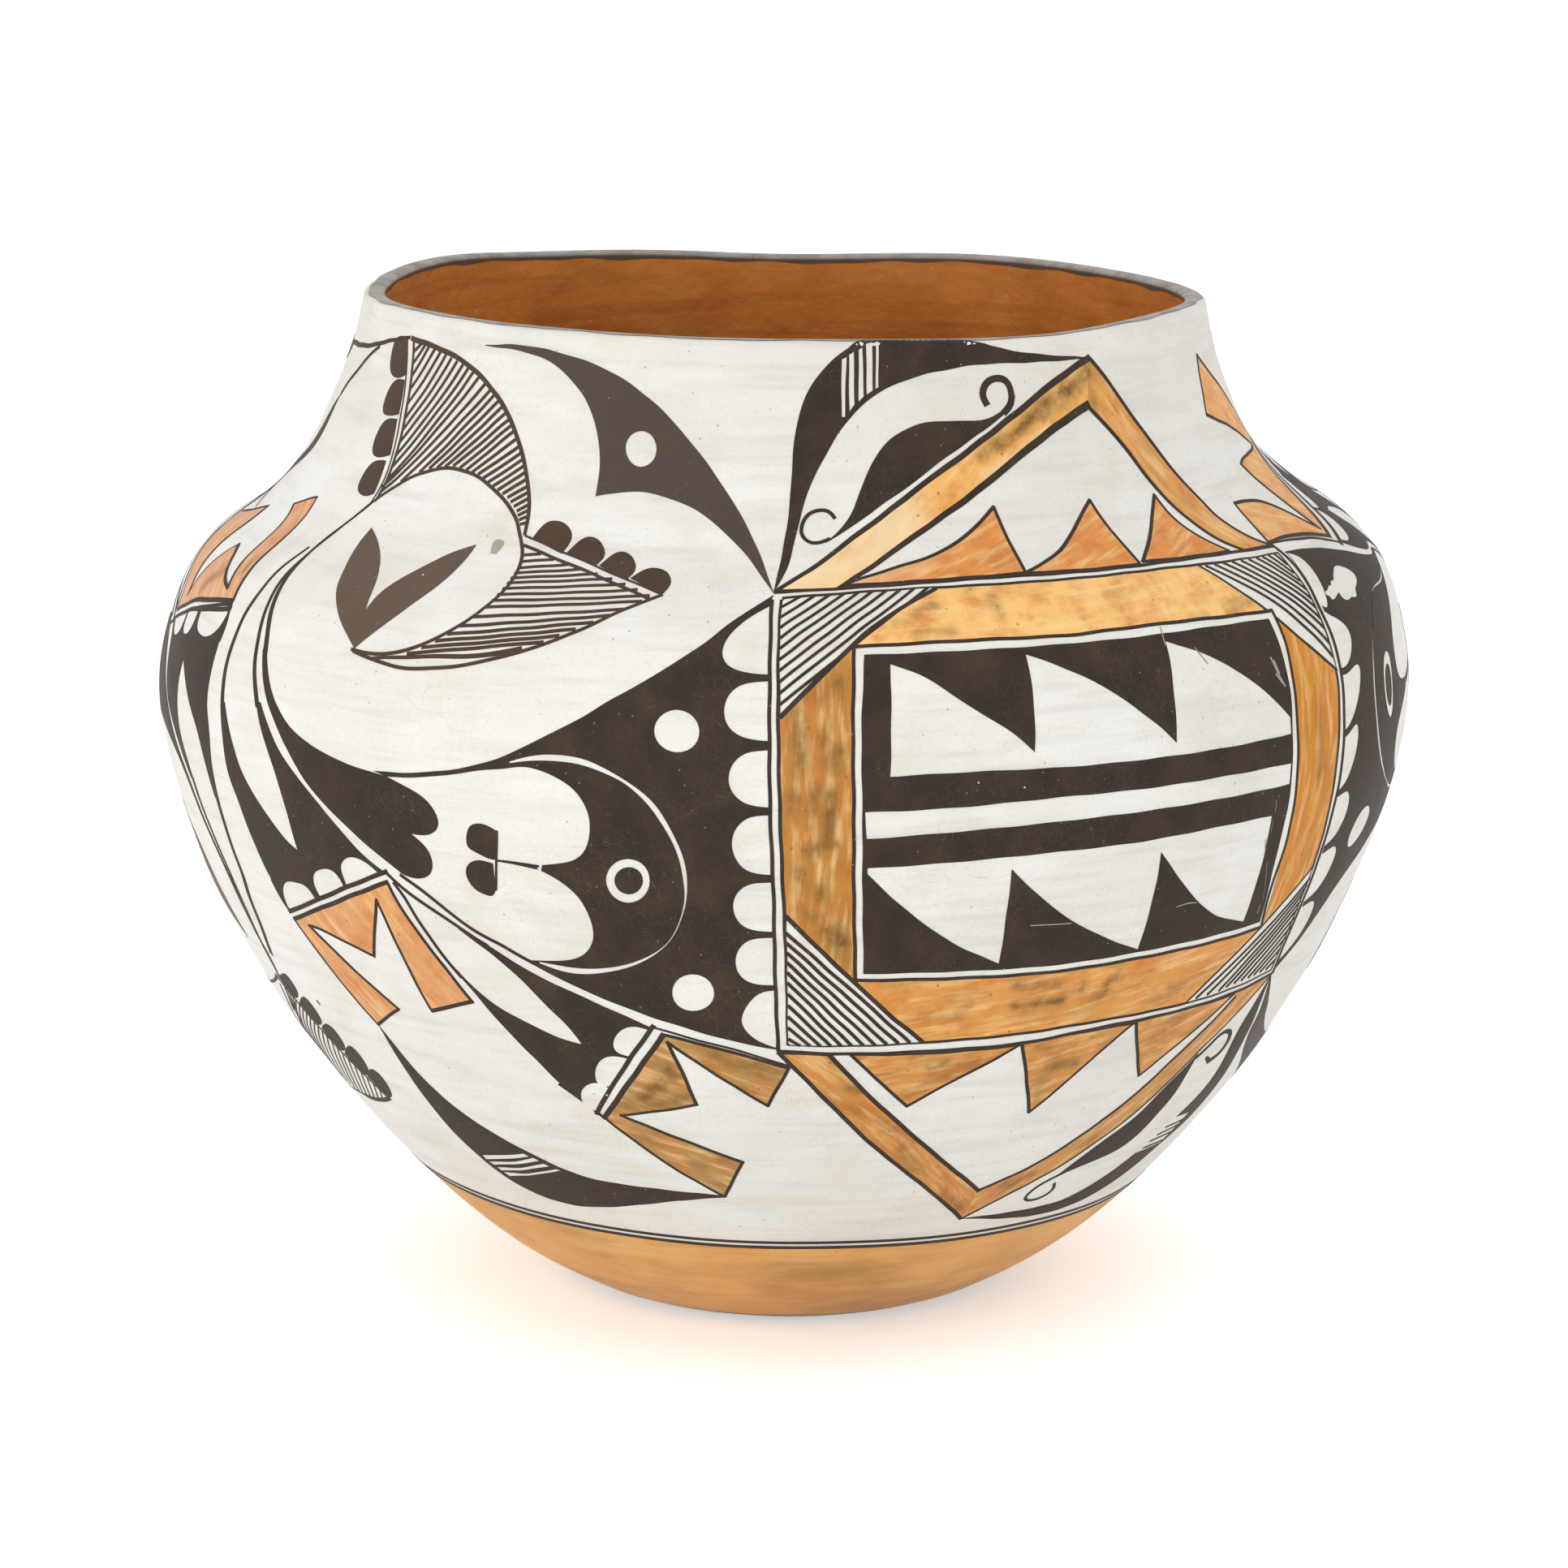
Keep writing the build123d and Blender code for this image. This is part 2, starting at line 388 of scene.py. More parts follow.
def on_sheet(pixels):
    """Places on the unrolled face, along the girth and along the outline, that the pixels' rays meet."""
    right, up, forward = (np.array(axis) for axis in view_axes())
    focal = LENS / SENSOR * IMAGE_SIZE
    offsets = (np.asarray(pixels, float) - IMAGE_SIZE / 2) / focal
    ways = forward + offsets[:, :1] * right - offsets[:, 1:] * up
    reach = np.linspace(*RAY_REACH, RAY_STEPS)
    points = np.array(CAMERA_PLACE) + ways[:, None, :] * reach[None, :, None]
    x, y, z = np.moveaxis(points, -1, 0)
    bulge = unevenness(np.arctan2(x, -y), OUTER.length_at_height(z))
    gap = np.hypot(x, y) - OUTER.radius_at_height(z) - bulge
    inside = gap < 0
    met = inside.any(axis=1)
    after = np.where(met, inside.argmax(axis=1), gap.argmin(axis=1))
    before = np.maximum(after - 1, 0)
    rows = np.arange(len(after))
    drop = gap[rows, before] - gap[rows, after]
    share = np.where(met, gap[rows, before] / np.maximum(drop, LEAST_DROP), 1.0)[:, None]
    hits = points[rows, before] * (1 - share) + points[rows, after] * share
    angles = np.arctan2(hits[:, 0], -hits[:, 1])
    return np.column_stack([angles * GIRTH, OUTER.length_at_height(hits[:, 2])])


def smooth_line(places):
    """Sheet points about a curve step apart on a smooth line through the places."""
    steps = np.linalg.norm(np.diff(places, axis=0), axis=1)
    knots = np.concatenate([[0], np.cumsum(np.sqrt(steps))])
    shares = np.linspace(0, knots[-1], max(2, int(np.ceil(steps.sum() / CURVE_STEP)) + 1))
    return np.column_stack([smooth_function(knots, places[:, axis])(shares) for axis in (0, 1)])


def drawn(pixels):
    """Smooth line on the sheet through pixels of the photograph."""
    return smooth_line(on_sheet(pixels))


def brush_outline(line, start_width, end_width):
    """Outline of a brush stroke along a line, with its real width on the jar."""
    shrink = np.column_stack([OUTER.radius(line[:, 1]) / GIRTH, np.ones(len(line))])
    heading = np.gradient(line, axis=0) * shrink
    heading /= np.linalg.norm(heading, axis=1)[:, None]
    widths = np.linspace(start_width, end_width, len(line))[:, None]
    aside = np.column_stack([-heading[:, 1], heading[:, 0]]) * widths / 2 / shrink
    ends = heading[[0, -1]] * widths[[0, -1]] / BRUSH_END / shrink[[0, -1]]
    line = line + np.vstack([-ends[:1], np.zeros((len(line) - 2, 2)), ends[1:]])
    return np.vstack([line + aside, (line - aside)[::-1]])


def close_set(outline):
    """An outline with points put in where it runs straight for more than a curve step."""
    dense = []
    for start, end in zip(outline, np.roll(outline, -1, axis=0)):
        parts = max(1, int(np.linalg.norm(end - start) / CURVE_STEP))
        dense.append(start + (end - start) * (np.arange(parts) / parts)[:, None])
    return np.vstack(dense)


class Painting:
    """Shapes on the sheet in the order they are painted, each a colour and an outline."""

    def __init__(self):
        self.shapes = []
        self.ink = "ink"

    def add(self, colour, outline, wash=None):
        self.shapes.append(Shape(colour, close_set(outline), wash or self.ink))

    def fill(self, colour, *edges, wash=None):
        self.add(colour, np.vstack([drawn(edge) for edge in edges]), wash)

    def black(self, *edges):
        self.fill(BLACK, *edges)

    def white(self, *edges):
        self.fill(WHITE, *edges)

    def each(self, colour, outlines):
        """Shapes that have one closed edge each."""
        for outline in outlines:
            self.fill(colour, outline)

    def orange(self, wash, *edges):
        """An orange field inside a black line."""
        self.fill(ORANGE, *edges, wash=wash)
        self.brush(LINE, *edges)

    def stroke(self, colour, line, start_width, end_width):
        self.add(colour, brush_outline(line, start_width, end_width))

    def brush(self, width, *lines):
        for line in lines:
            self.stroke(BLACK, drawn(line), width, width)

    def taper(self, start_width, end_width, line):
        self.stroke(BLACK, drawn(line), start_width, end_width)

    def gap(self, width, *lines):
        for line in lines:
            self.stroke(WHITE, drawn(line), width, width)

    def dot(self, colour, middle, across, high):
        """A dot by its middle, half width and half height in pixels."""
        turns = np.linspace(0, tau, DOT_POINTS, endpoint=False)
        ring = np.column_stack([middle[0] + across * np.cos(turns), middle[1] + high * np.sin(turns)])
        self.add(colour, on_sheet(ring))

    def leaf(self, edge, bow):
        """A black leaf between a line on the sheet and the same line bowed aside."""
        bows = np.sin(np.linspace(0, pi, len(edge)))[:, None] * np.array(bow)
        self.add(BLACK, np.vstack([edge, (edge + bows)[::-1]]))

    def hatch(self, width, starts, ends, count):
        """Strokes spread from pixels along one line to the paired pixels along another."""
        starts, ends = np.array(starts, float), np.array(ends, float)
        steps = sum(np.linalg.norm(np.diff(side, axis=0), axis=1) for side in (starts, ends))
        knots = np.concatenate([[0], np.cumsum(steps)])
        for share in np.linspace(0, knots[-1], count):
            self.brush(width, [[np.interp(share, knots, axis) for axis in side.T] for side in (starts, ends)])

    def fan(self, width, *stops):
        """Strokes numbered between the given ones, each given by its number and its two ends."""
        numbers = [stop[0] for stop in stops]
        ends = [np.array([stop[end] for stop in stops], float) for end in (1, 2)]
        for number in range(numbers[0], numbers[-1] + 1):
            self.brush(width, [[np.interp(number, numbers, axis) for axis in end.T] for end in ends])


# Motifs of the left half, from the photograph's pixels


def upper_fan(paint):
    arc = ((508, 417), (540, 429), (580, 452), (613, 489), (633, 526), (646, 570), (652, 620), (647, 658))
    outer_line = ((502, 420), (500, 470), (494, 512), (484, 560), (470, 598), (457, 620))
    inner_line = ((510, 422), (505, 480), (496, 530), (485, 570), (470, 605), (463, 617))
    lobes = (
        ((503, 416), (487, 420), (481, 450), (489, 466), (500, 462)),
        ((499, 468), (482, 475), (472, 505), (484, 512), (492, 510)),
        ((490, 516), (470, 524), (459, 555), (472, 563), (481, 561)),
        ((476, 568), (456, 573), (441, 600), (452, 611), (461, 608)),
    )
    strokes = (
        (1, (511.5, 431.5), (519, 424)), (3, (508, 462.5), (528.5, 428)), (6, (500.5, 514), (549, 438)),
        (9, (488.5, 561), (570, 450.5)), (11, (477, 591), (583, 459)), (12, (471, 600), (590, 465.5)),
        (13, (472, 604), (598, 473)), (14, (495, 592.5), (604, 480.5)), (15, (518, 581), (609, 486.5)),
        (16, (530, 576.5), (614, 494.5)), (19, (559.5, 573.5), (627, 517)),
        (21, (576, 578), (633.5, 531)), (23, (590.5, 584), (640, 549.5)),
        (26, (609, 598), (645.5, 574.5)), (29, (626.5, 612.5), (649.5, 599.5)),
        (32, (638, 629.5), (650, 622.5)), (35, (642.5, 646), (646, 645)),
    )
    paint.ink = "thin_ink"
    paint.fan(LINE, *strokes)
    paint.taper(BOLD, LINE, arc)
    paint.brush(FINE, outer_line)
    paint.brush(LINE, inner_line)
    paint.each(BLACK, lobes)
    paint.ink = "ink"


def edge_fan(paint):
    lobes = (
        (
            (344, 1204), (349, 1199), (354, 1202), (362, 1213),
            (367, 1224), (364, 1229), (358, 1222), (350, 1212),
        ),
        (
            (369, 1236), (371, 1229), (376, 1229), (385, 1239),
            (396, 1257), (394, 1263), (388, 1259), (378, 1247),
        ),
        (
            (397, 1267), (399, 1262), (404, 1262), (414, 1271),
            (425, 1289), (421, 1294), (414, 1288), (404, 1276),
        ),
        (
            (425, 1298), (427, 1290), (432, 1289), (441, 1297),
            (454, 1317), (451, 1324), (443, 1318), (433, 1307),
        ),
        (
            (453, 1326), (455, 1319), (460, 1318), (470, 1326),
            (482, 1346), (480, 1352), (472, 1346), (462, 1335),
        ),
    )
    base = ((343, 1205), (364, 1231), (394, 1266), (423, 1298), (452, 1327), (477, 1351))
    arc = (
        (345, 1212), (358, 1240), (383, 1278), (405, 1308),
        (425, 1330), (440, 1343), (455, 1352), (470, 1356),
    )
    tip = ((452, 1350), (468, 1355), (480, 1353))
    starts = ((350, 1213), (365, 1232), (380, 1250), (400, 1273), (423, 1298), (447, 1322), (468, 1343))
    ends = ((362, 1243), (383, 1278), (402, 1303), (425, 1329), (443, 1344), (458, 1351), (471, 1353))
    tick = ((391, 1233), (394, 1237))
    worn_right, worn_up = 3, 2
    strand = ((286, 745), (260, 746), (240, 750), (225, 757), (210, 768))
    paint.ink = "thin_ink"
    paint.hatch(FINE, starts, ends, count=22)
    paint.ink = "ink"
    paint.brush(LINE, base, strand)
    paint.brush(THIN, arc, tick)
    paint.brush(BOLD, tip)
    paint.each(BLACK, lobes)
    paint.gap(SCRATCH, [(x + worn_right, y - worn_up) for x, y in base])


def neck_leaf(paint):
    stem = ((505, 416), (480, 420), (460, 425), (445, 425), (437, 421))
    strip = ((421, 484), (413, 500), (404, 520), (383, 555), (345, 592), (313, 628))
    thread = ((468, 427), (452, 442), (440, 457), (430, 470), (421, 484))
    paint.taper(LINE, BOLD, stem)
    tip = on_sheet(stem)[-1]
    paint.leaf(smooth_line(np.array([tip, tip + NECK_LEAF_RUN])), NECK_LEAF_BOW)
    paint.leaf(drawn(strip), STRIP_BOW)
    paint.taper(LINE, BOLD, thread)


def head(paint):
    outline = (
        (434, 800), (465, 806), (500, 801), (552, 779), (597, 749), (632, 714),
        (643.5, 680), (640, 655), (636, 640), (620, 614.5), (600, 595.5),
        (580, 583), (550, 577), (520, 583), (500, 592), (480, 604), (462, 617),
    )
    left_leaf = ((437, 799), (421, 768), (414, 735), (421, 708), (442, 670), (458, 650))
    left_leaf_inside = ((458, 650), (468, 678), (463, 717), (450, 753))
    right_leaf = ((450, 753), (472, 728), (510, 704), (560, 680), (587, 671))
    right_leaf_inside = ((587, 671), (560, 704), (505, 747), (450, 788), (437, 799))
    paint.ink = "thin_ink"
    paint.brush(LINE, outline)
    paint.ink = "worn_ink"
    paint.black(left_leaf, left_leaf_inside, right_leaf, right_leaf_inside)
    paint.ink = "ink"


def lower_fan(paint):
    rim = ((815, 733), (770, 751), (714, 776.5), (660, 797), (600, 814), (540, 823), (486, 821), (436, 802))
    upper_line = ((648, 660), (730, 696), (815, 732))
    lower_line = ((646, 672), (725, 705), (800, 738))
    lobes = (
        ((656, 664), (672, 645), (685, 642), (697, 646), (705, 660), (692, 682)),
        ((698, 681), (718, 664), (730, 662), (741, 669), (745, 684), (734, 697)),
        ((738, 697), (757, 682), (768, 680), (779, 687), (783, 702), (773, 714)),
        ((777, 713), (797, 701), (810, 700), (822, 705), (827, 718), (815, 733)),
    )
    top_start = ((647, 684), (640, 700), (625, 720), (607, 740))
    top_end = ((665, 683), (699, 696), (759, 715), (799, 734))
    low_start = ((598, 748), (588, 757), (559, 778), (532, 793), (503, 805))
    low_end = ((789, 741), (774, 749), (739, 763), (699, 779), (668, 791))
    last = ((459, 811), (530, 809), (600, 807), (641, 800))
    paint.ink = "thin_ink"
    paint.hatch(LINE, top_start, top_end, count=9)
    paint.hatch(LINE, low_start, low_end, count=7)
    paint.taper(HATCH, BOLD, last)
    paint.brush(THIN, upper_line)
    paint.brush(LINE, rim, lower_line)
    paint.each(BLACK, lobes)
    paint.ink = "ink"


def fin(paint):
    top = (
        (598, 425), (640, 425), (680, 432), (720, 444), (760, 462), (800, 491),
        (830, 520), (863, 560), (909, 628), (939, 690), (953, 731),
    )
    foot = ((953, 731), (920, 685), (880, 645), (840, 620), (785, 606), (734, 612))
    back = ((734, 612), (739, 570), (733, 520), (709, 474), (668, 441), (598, 426))
    spot = ((790, 553), 19, 22)
    # The fin's black is painted lighter than the other ink, as painted sheen on this upward-facing part; its
    # turned and far copies carry it too
    paint.ink = "pale_ink"
    paint.black(top, foot, back)
    paint.ink = "ink"
    paint.dot(WHITE, *spot)


def long_lines(paint):
    first = (
        (462, 617), (430, 642), (400, 665), (370, 692), (352, 714), (339.5, 737), (332.5, 762), (327, 803),
    )
    second = (
        (457, 620), (420, 650), (380, 682), (347, 715), (326.5, 755), (316, 800), (314, 840), (317, 868),
    )
    third = ((380, 675), (350, 697), (322, 727), (298, 765), (281, 812), (275, 845), (274, 868))
    for line, start, end in zip((first, second, third), (THIN, THIN, LINE), STRAND_ENDS):
        paint.taper(start, end, line)


def bands(paint):
    right = ((321, 865), (333, 900), (350, 935), (375, 968), (415, 1018), (455, 1060), (474, 1075))
    base = ((474, 1075), (358, 1123))
    left = ((358, 1123), (335, 1084), (312, 1035), (293, 985), (281, 950), (274, 905), (272, 865))
    blade_left = ((277, 865), (284, 905), (300, 955), (325, 998), (355, 1037), (367, 1048))
    blade_right = ((367, 1048), (356, 1010), (343, 965), (330, 925), (319, 885), (316, 865))
    scallops = (
        ((467, 1077), (450, 1062), (435, 1056), (425, 1059), (420, 1070), (428, 1093)),
        ((424, 1093), (415, 1078), (405, 1071), (395, 1071), (387, 1077), (388, 1092), (395, 1106)),
        ((389, 1108), (378, 1093), (365, 1087), (353, 1087), (349, 1100), (357, 1122)),
    )
    paint.black(right, base, left, blade_left, blade_right)
    paint.each(WHITE, scallops)
    upper_line = ((357, 1123), (395, 1107), (430, 1092), (476, 1074))
    left_line = ((335, 1084), (346, 1105), (358, 1123))
    paint.brush(BASE, upper_line)
    paint.brush(LINE, left_line)


def left_zigzag(paint):
    base = ((363, 1132), (400, 1117), (440, 1101), (477, 1087))
    right = ((477, 1087), (496, 1121), (535, 1175), (582, 1234))
    foot = ((582, 1234), (532, 1245))
    rise = ((532, 1245), (495, 1175), (464, 1108))
    fall = ((464, 1108), (462, 1140), (461, 1178))
    back = ((461, 1178), (400, 1147), (381, 1140))
    down = ((381, 1140), (438, 1196), (491, 1243))
    toe = ((491, 1243), (466, 1262))
    left = ((466, 1262), (430, 1221), (407, 1192), (363, 1132))
    paint.orange("left_zigzag", base, right, foot, rise, fall, back, down, toe, left)
    paint.brush(BASE, base, foot)


def left_body(paint):
    top = ((329, 800), (331, 832), (338, 861), (350, 886), (366, 904), (405, 931), (445, 947), (476, 957))
    upper_lobe = ((476, 957), (500, 969), (527, 988), (540, 1013), (530, 1028), (506, 1027))
    lower_lobe = ((506, 1027), (527, 1047), (533, 1065), (528, 1079), (512, 1082), (497, 1077))
    bottom = (
        (497, 1077), (470, 1056), (440, 1030), (398.5, 989.5),
        (367.5, 948.5), (342, 898), (326, 850), (324, 800),
    )
    stripe_line = ((494, 1078), (530, 1105), (575, 1140), (620, 1166), (660, 1188))
    paint.black(top, upper_lobe, lower_lobe, bottom)
    paint.brush(LINE, stripe_line)


def blades(paint):
    stripe_line = ((475, 1075), (500, 1097), (525, 1115), (560, 1139), (600, 1165))
    lower_line = ((485, 1088), (500, 1108), (515, 1133), (535, 1162), (552, 1185), (568, 1204))
    upper = ((560, 1137), (600, 1164), (640, 1189), (680, 1211), (720, 1229), (760, 1247), (803, 1266))
    base = ((803, 1266), (737, 1370))
    lower = ((737, 1370), (700, 1343), (670, 1315), (640, 1285), (610, 1253), (590, 1229), (563, 1199))
    window_low = ((563, 1195), (575, 1208), (600, 1230), (630, 1250), (660, 1265), (690, 1279), (717, 1287))
    window_top = ((717, 1287), (700, 1265), (680, 1245), (640, 1205), (600, 1171), (565, 1145))
    scallops = (
        ((800, 1269), (785, 1265), (770, 1267), (757, 1280), (759, 1295), (780, 1303)),
        ((776, 1305), (757, 1301), (742, 1305), (733, 1322), (738, 1336), (756, 1338)),
        ((752, 1341), (735, 1334), (722, 1338), (716, 1350), (722, 1364), (735, 1369)),
    )
    base_line = ((805, 1264), (735, 1372))
    under_line = ((690, 1336), (715, 1354), (745, 1378))
    paint.brush(LINE, stripe_line, lower_line, under_line)
    paint.black(upper, base, lower, window_low, window_top)
    paint.each(WHITE, scallops)
    paint.brush(BASE, base_line)


def right_zigzag(paint):
    base = ((745, 1377), (782, 1325), (817, 1275))
    top = ((817, 1275), (850, 1283), (900, 1296), (972, 1316))
    toe = ((972, 1316), (946, 1362))
    under = ((946, 1362), (900, 1335), (822, 1284))
    fall = ((822, 1284), (840, 1320), (858, 1361))
    back = ((858, 1361), (830, 1366), (765, 1374))
    lower = ((765, 1374), (840, 1404), (915, 1432))
    foot = ((915, 1432), (893, 1474))
    left = ((893, 1474), (820, 1432), (745, 1377))
    paint.orange("right_zigzag", base, top, toe, under, fall, back, lower, foot, left)
    paint.brush(BOLD, base)
    top_line = ((803, 1265), (850, 1279), (900, 1292), (972, 1313))
    paint.brush(THIN, top_line)


def lower_leaf(paint):
    upper = (
        (466, 1262), (490, 1292), (520, 1327), (550, 1355), (590, 1385),
        (650, 1419), (712, 1447), (780, 1461), (893, 1473),
    )
    lower = (
        (893, 1475), (840, 1479), (780, 1485), (740, 1487), (700, 1483),
        (640, 1460), (588, 1422), (542, 1375), (498, 1315), (466, 1262),
    )
    stripes = (
        ((594, 1422.5), (620, 1423), (645, 1421), (652, 1425), (620, 1428), (599, 1428)),
        ((602, 1430.5), (630, 1431), (657, 1426.5), (665, 1430.5), (640, 1434), (609, 1435)),
        ((612, 1437.5), (640, 1438.5), (670, 1433.5), (677, 1437), (640, 1442), (618, 1442)),
        ((620, 1443.5), (650, 1445.5), (685, 1440), (691, 1442), (660, 1447.5), (628, 1449)),
    )
    stripe_ends = (((640, 1415), (665, 1429), (705, 1446)), ((594, 1424), (611, 1440), (640, 1459)))
    paint.black(upper, lower)
    for top_left, top_middle, top_right, low_right, low_middle, low_left in stripes:
        paint.white((top_left, top_middle, top_right), (low_right, low_middle, low_left))
    paint.brush(FINE, *stripe_ends)


def right_body(paint):
    top = (
        (953, 733), (900, 768), (860, 798), (800, 836), (760, 858), (720, 882),
        (650, 918), (600, 939), (550, 949), (505, 952), (460, 950),
    )
    under_line = ((476, 957), (530, 957), (580, 951), (620, 947))
    upper_lobe = (
        (620, 947), (640, 945), (660, 948), (700, 967), (722, 995),
        (727, 1018), (717, 1052), (690, 1064), (668, 1066),
    )
    lower_lobe = ((667, 1073), (700, 1093), (722, 1120), (731, 1150), (720, 1175), (690, 1184), (655, 1183))
    bottom = (
        (655, 1187), (680, 1201), (720, 1220), (760, 1237),
        (800, 1252), (840, 1265), (900, 1282), (957, 1293),
    )
    panel_side = ((957, 1293), (952, 1100), (948, 900), (951, 737))
    paint.black(top, under_line, upper_lobe, lower_lobe, bottom, panel_side)


def crescents(paint):
    outside = (
        (628, 938), (660, 931), (690, 930), (720, 936), (760, 955), (800, 984),
        (828, 1025), (844, 1065), (847, 1090), (842, 1125), (828, 1156),
        (800, 1180), (760, 1196), (720, 1200), (690, 1196), (665, 1187),
    )
    inside = (
        (665, 1185), (680, 1188), (720, 1193), (760, 1191), (800, 1177), (825, 1158), (839, 1130),
        (843, 1095), (835, 1055), (812, 1010), (775, 969), (740, 951), (700, 939), (650, 938), (628, 940),
    )
    paint.white(outside, inside)


def eyes(paint):
    mouth_side = ((612, 1024), (612, 1060), (611, 1096))
    mouth_upper = (
        (612, 1060), (602, 1058), (588, 1051), (577, 1044), (574.5, 1035),
        (577, 1022), (583, 1016), (597, 1016), (611, 1023),
    )
    mouth_lower = (
        (608, 1064.5), (592, 1060), (580, 1062), (574.5, 1071),
        (577, 1084), (587, 1097), (597, 1102), (606, 1104), (611, 1096),
    )
    mouth_line = ((612, 1060.5), (640, 1064), (662, 1068.5))
    eye, pupil = ((774, 1085), 27, 27), ((775, 1085), 17.5, 16.5)
    upper_spot, lower_spot = ((834, 901), 28, 26), ((854, 1223), 26, 23)
    paint.dot(WHITE, *eye)
    paint.dot(BLACK, *pupil)
    paint.dot(WHITE, *upper_spot)
    paint.dot(WHITE, *lower_spot)
    paint.each(BLACK, (mouth_upper, mouth_lower))
    paint.brush(THIN, mouth_side)
    paint.taper(FINE, BASE, mouth_line)


def panel_scallops(paint):
    first = ((950, 746), (930, 757), (910, 772), (890, 800), (900, 822), (950, 831))
    last = (
        (956, 1220), (940, 1222), (925, 1233), (914, 1256),
        (919, 1270), (930, 1280), (945, 1287), (956, 1291),
    )
    side = 956
    scallops = ((839, 913, 892), (924, 995, 898), (1004, 1078, 902), (1087, 1148, 903), (1155, 1214, 906))
    paint.each(WHITE, (first, last))
    for top, bottom, left in scallops:
        middle, half = (top + bottom) / 2, (bottom - top) / 2
        turns = np.linspace(-pi / 2, pi / 2, SCALLOP_POINTS)
        across = np.maximum(np.cos(turns), 0) ** SCALLOP_SQUARENESS
        paint.white(np.column_stack([side - (side - left) * across, middle + half * np.sin(turns)]))


def painted(*motifs):
    """Shapes of motifs in the order they are painted."""
    paint = Painting()
    for motif in motifs:
        motif(paint)
    return paint.shapes


def left_half():
    return painted(
        fin, long_lines, bands, left_zigzag, left_body, blades, right_zigzag, right_body, crescents, eyes,
        panel_scallops,
    )


# Motifs of the panel and the chevrons on it, from the photograph's pixels


def feather(paint):
    back = (
        (953, 730), (964, 680), (973, 620), (977, 560), (985, 510), (1003, 470), (1030, 440), (1058, 420),
    )
    top = (
        (1058, 420), (1080, 417), (1120, 416), (1160, 416.5),
        (1187, 419), (1220, 426), (1260, 434), (1337, 440),
    )
    under = (
        (1337, 442), (1260, 447), (1200, 450), (1160, 457), (1130, 464), (1080, 486),
        (1045, 518), (1020, 556), (998, 600), (982, 655), (970, 700), (953, 730),
    )
    stripes = (
        ((1037, 443), (1043, 440), (1041, 514), (1037, 514)),
        ((1046, 437), (1052, 433), (1053, 498), (1046.5, 507)),
        ((1058, 431), (1062.5, 428), (1064.5, 488), (1058, 495)),
        ((1067, 425), (1074.5, 422.5), (1075.5, 481), (1068, 486)),
        ((1079, 422), (1082.5, 421), (1082.5, 477), (1079, 479)),
    )
    paint.black(back, top, under)
    for top_left, top_right, low_right, low_left in stripes:
        paint.white((top_left, top_right), (low_right, low_left))


def scroll_leaf(paint):
    upper = (
        (1018, 668), (1046, 638), (1063, 596), (1082, 558), (1112, 531),
        (1155, 519), (1205, 518), (1236, 505), (1251, 487),
    )
    lower = (
        (1251, 487), (1246, 502), (1237, 511.5), (1200, 539.5),
        (1160, 568), (1120, 599), (1080, 627), (1050, 649), (1018, 668.5),
    )
    lower_curl = ((1022, 664), (1001, 669), (988, 659), (990, 642), (1003, 630), (1020, 630), (1028, 638))
    upper_curl = ((1238, 508), (1246, 493), (1242, 473), (1227, 466), (1214, 474), (1211, 487), (1215, 497))
    paint.black(upper, lower)
    paint.brush(LINE, lower_curl)
    paint.brush(HEAVY, upper_curl)


def upper_chevron(paint):
    left_outside = (
        (956, 728), (1000, 701), (1050, 664), (1100, 626), (1140, 595),
        (1200, 550.5), (1250, 511), (1300, 470), (1341, 441),
    )
    right_outside = (
        (1341, 440), (1360, 463), (1400, 520), (1440, 573),
        (1480, 617), (1500, 637), (1540, 662), (1567, 672),
    )
    right_end = ((1567, 672), (1533, 678))
    right_inside = ((1533, 678), (1500, 664), (1460, 636), (1400, 570), (1360, 521), (1340, 500))
    left_inside = (
        (1340, 499), (1300, 527), (1240, 575), (1200, 608), (1160, 637), (1100, 680), (1030, 727),
    )
    left_end = ((1030, 727), (956, 728))
    paint.fill(ORANGE, left_outside, left_inside, wash="rising_arm")
    paint.fill(ORANGE, right_outside, right_inside, wash="falling_arm")
    paint.brush(LINE, right_end, left_end)
    paint.brush(BASE, right_outside, right_inside)
    paint.taper(BASE, HEAVY, left_outside)
    paint.taper(BROAD, BASE, left_inside)


def upper_teeth(paint):
    teeth = (
        (
            (1037, 722), (1080, 707), (1140, 688), (1180, 668),
            (1224, 625), (1240, 661), (1264, 706), (1150, 715),
        ),
        (
            (1264, 706), (1280, 697), (1300, 684), (1320, 658),
            (1342, 616), (1370, 655), (1405, 695), (1340, 702),
        ),
        (
            (1408, 692), (1414, 672), (1418, 650), (1420, 632),
            (1422, 610), (1460, 650), (1515, 679), (1460, 687),
        ),
    )
    for corner, low, middle, high, tip, down, foot, base in teeth:
        paint.orange("upper_teeth", (corner, low, middle, high, tip), (tip, down, foot), (foot, base, corner))


def lower_chevron(paint):
    left_outside = ((960, 1297), (1050, 1387), (1100, 1431), (1184, 1501))
    right_outside = (
        (1184, 1501), (1250, 1467), (1300, 1440), (1350, 1407),
        (1400, 1369), (1460, 1312), (1500, 1272), (1567, 1199),
    )
    right_end = ((1567, 1199), (1540, 1213), (1518, 1222))
    right_inside = (
        (1522, 1228), (1500, 1252), (1460, 1291), (1400, 1347),
        (1340, 1393), (1300, 1420), (1250, 1447), (1206, 1466),
    )
    left_inside = ((1206, 1467), (1150, 1421), (1060, 1340), (1022, 1299))
    left_end = ((1022, 1299), (960, 1297))
    paint.fill(ORANGE, left_outside, left_inside, wash="low_falling_arm")
    paint.fill(ORANGE, right_outside, right_end, right_inside, wash="low_rising_arm")
    paint.brush(LINE, right_outside, right_inside, left_end)
    paint.brush(BASE, left_outside, left_inside)


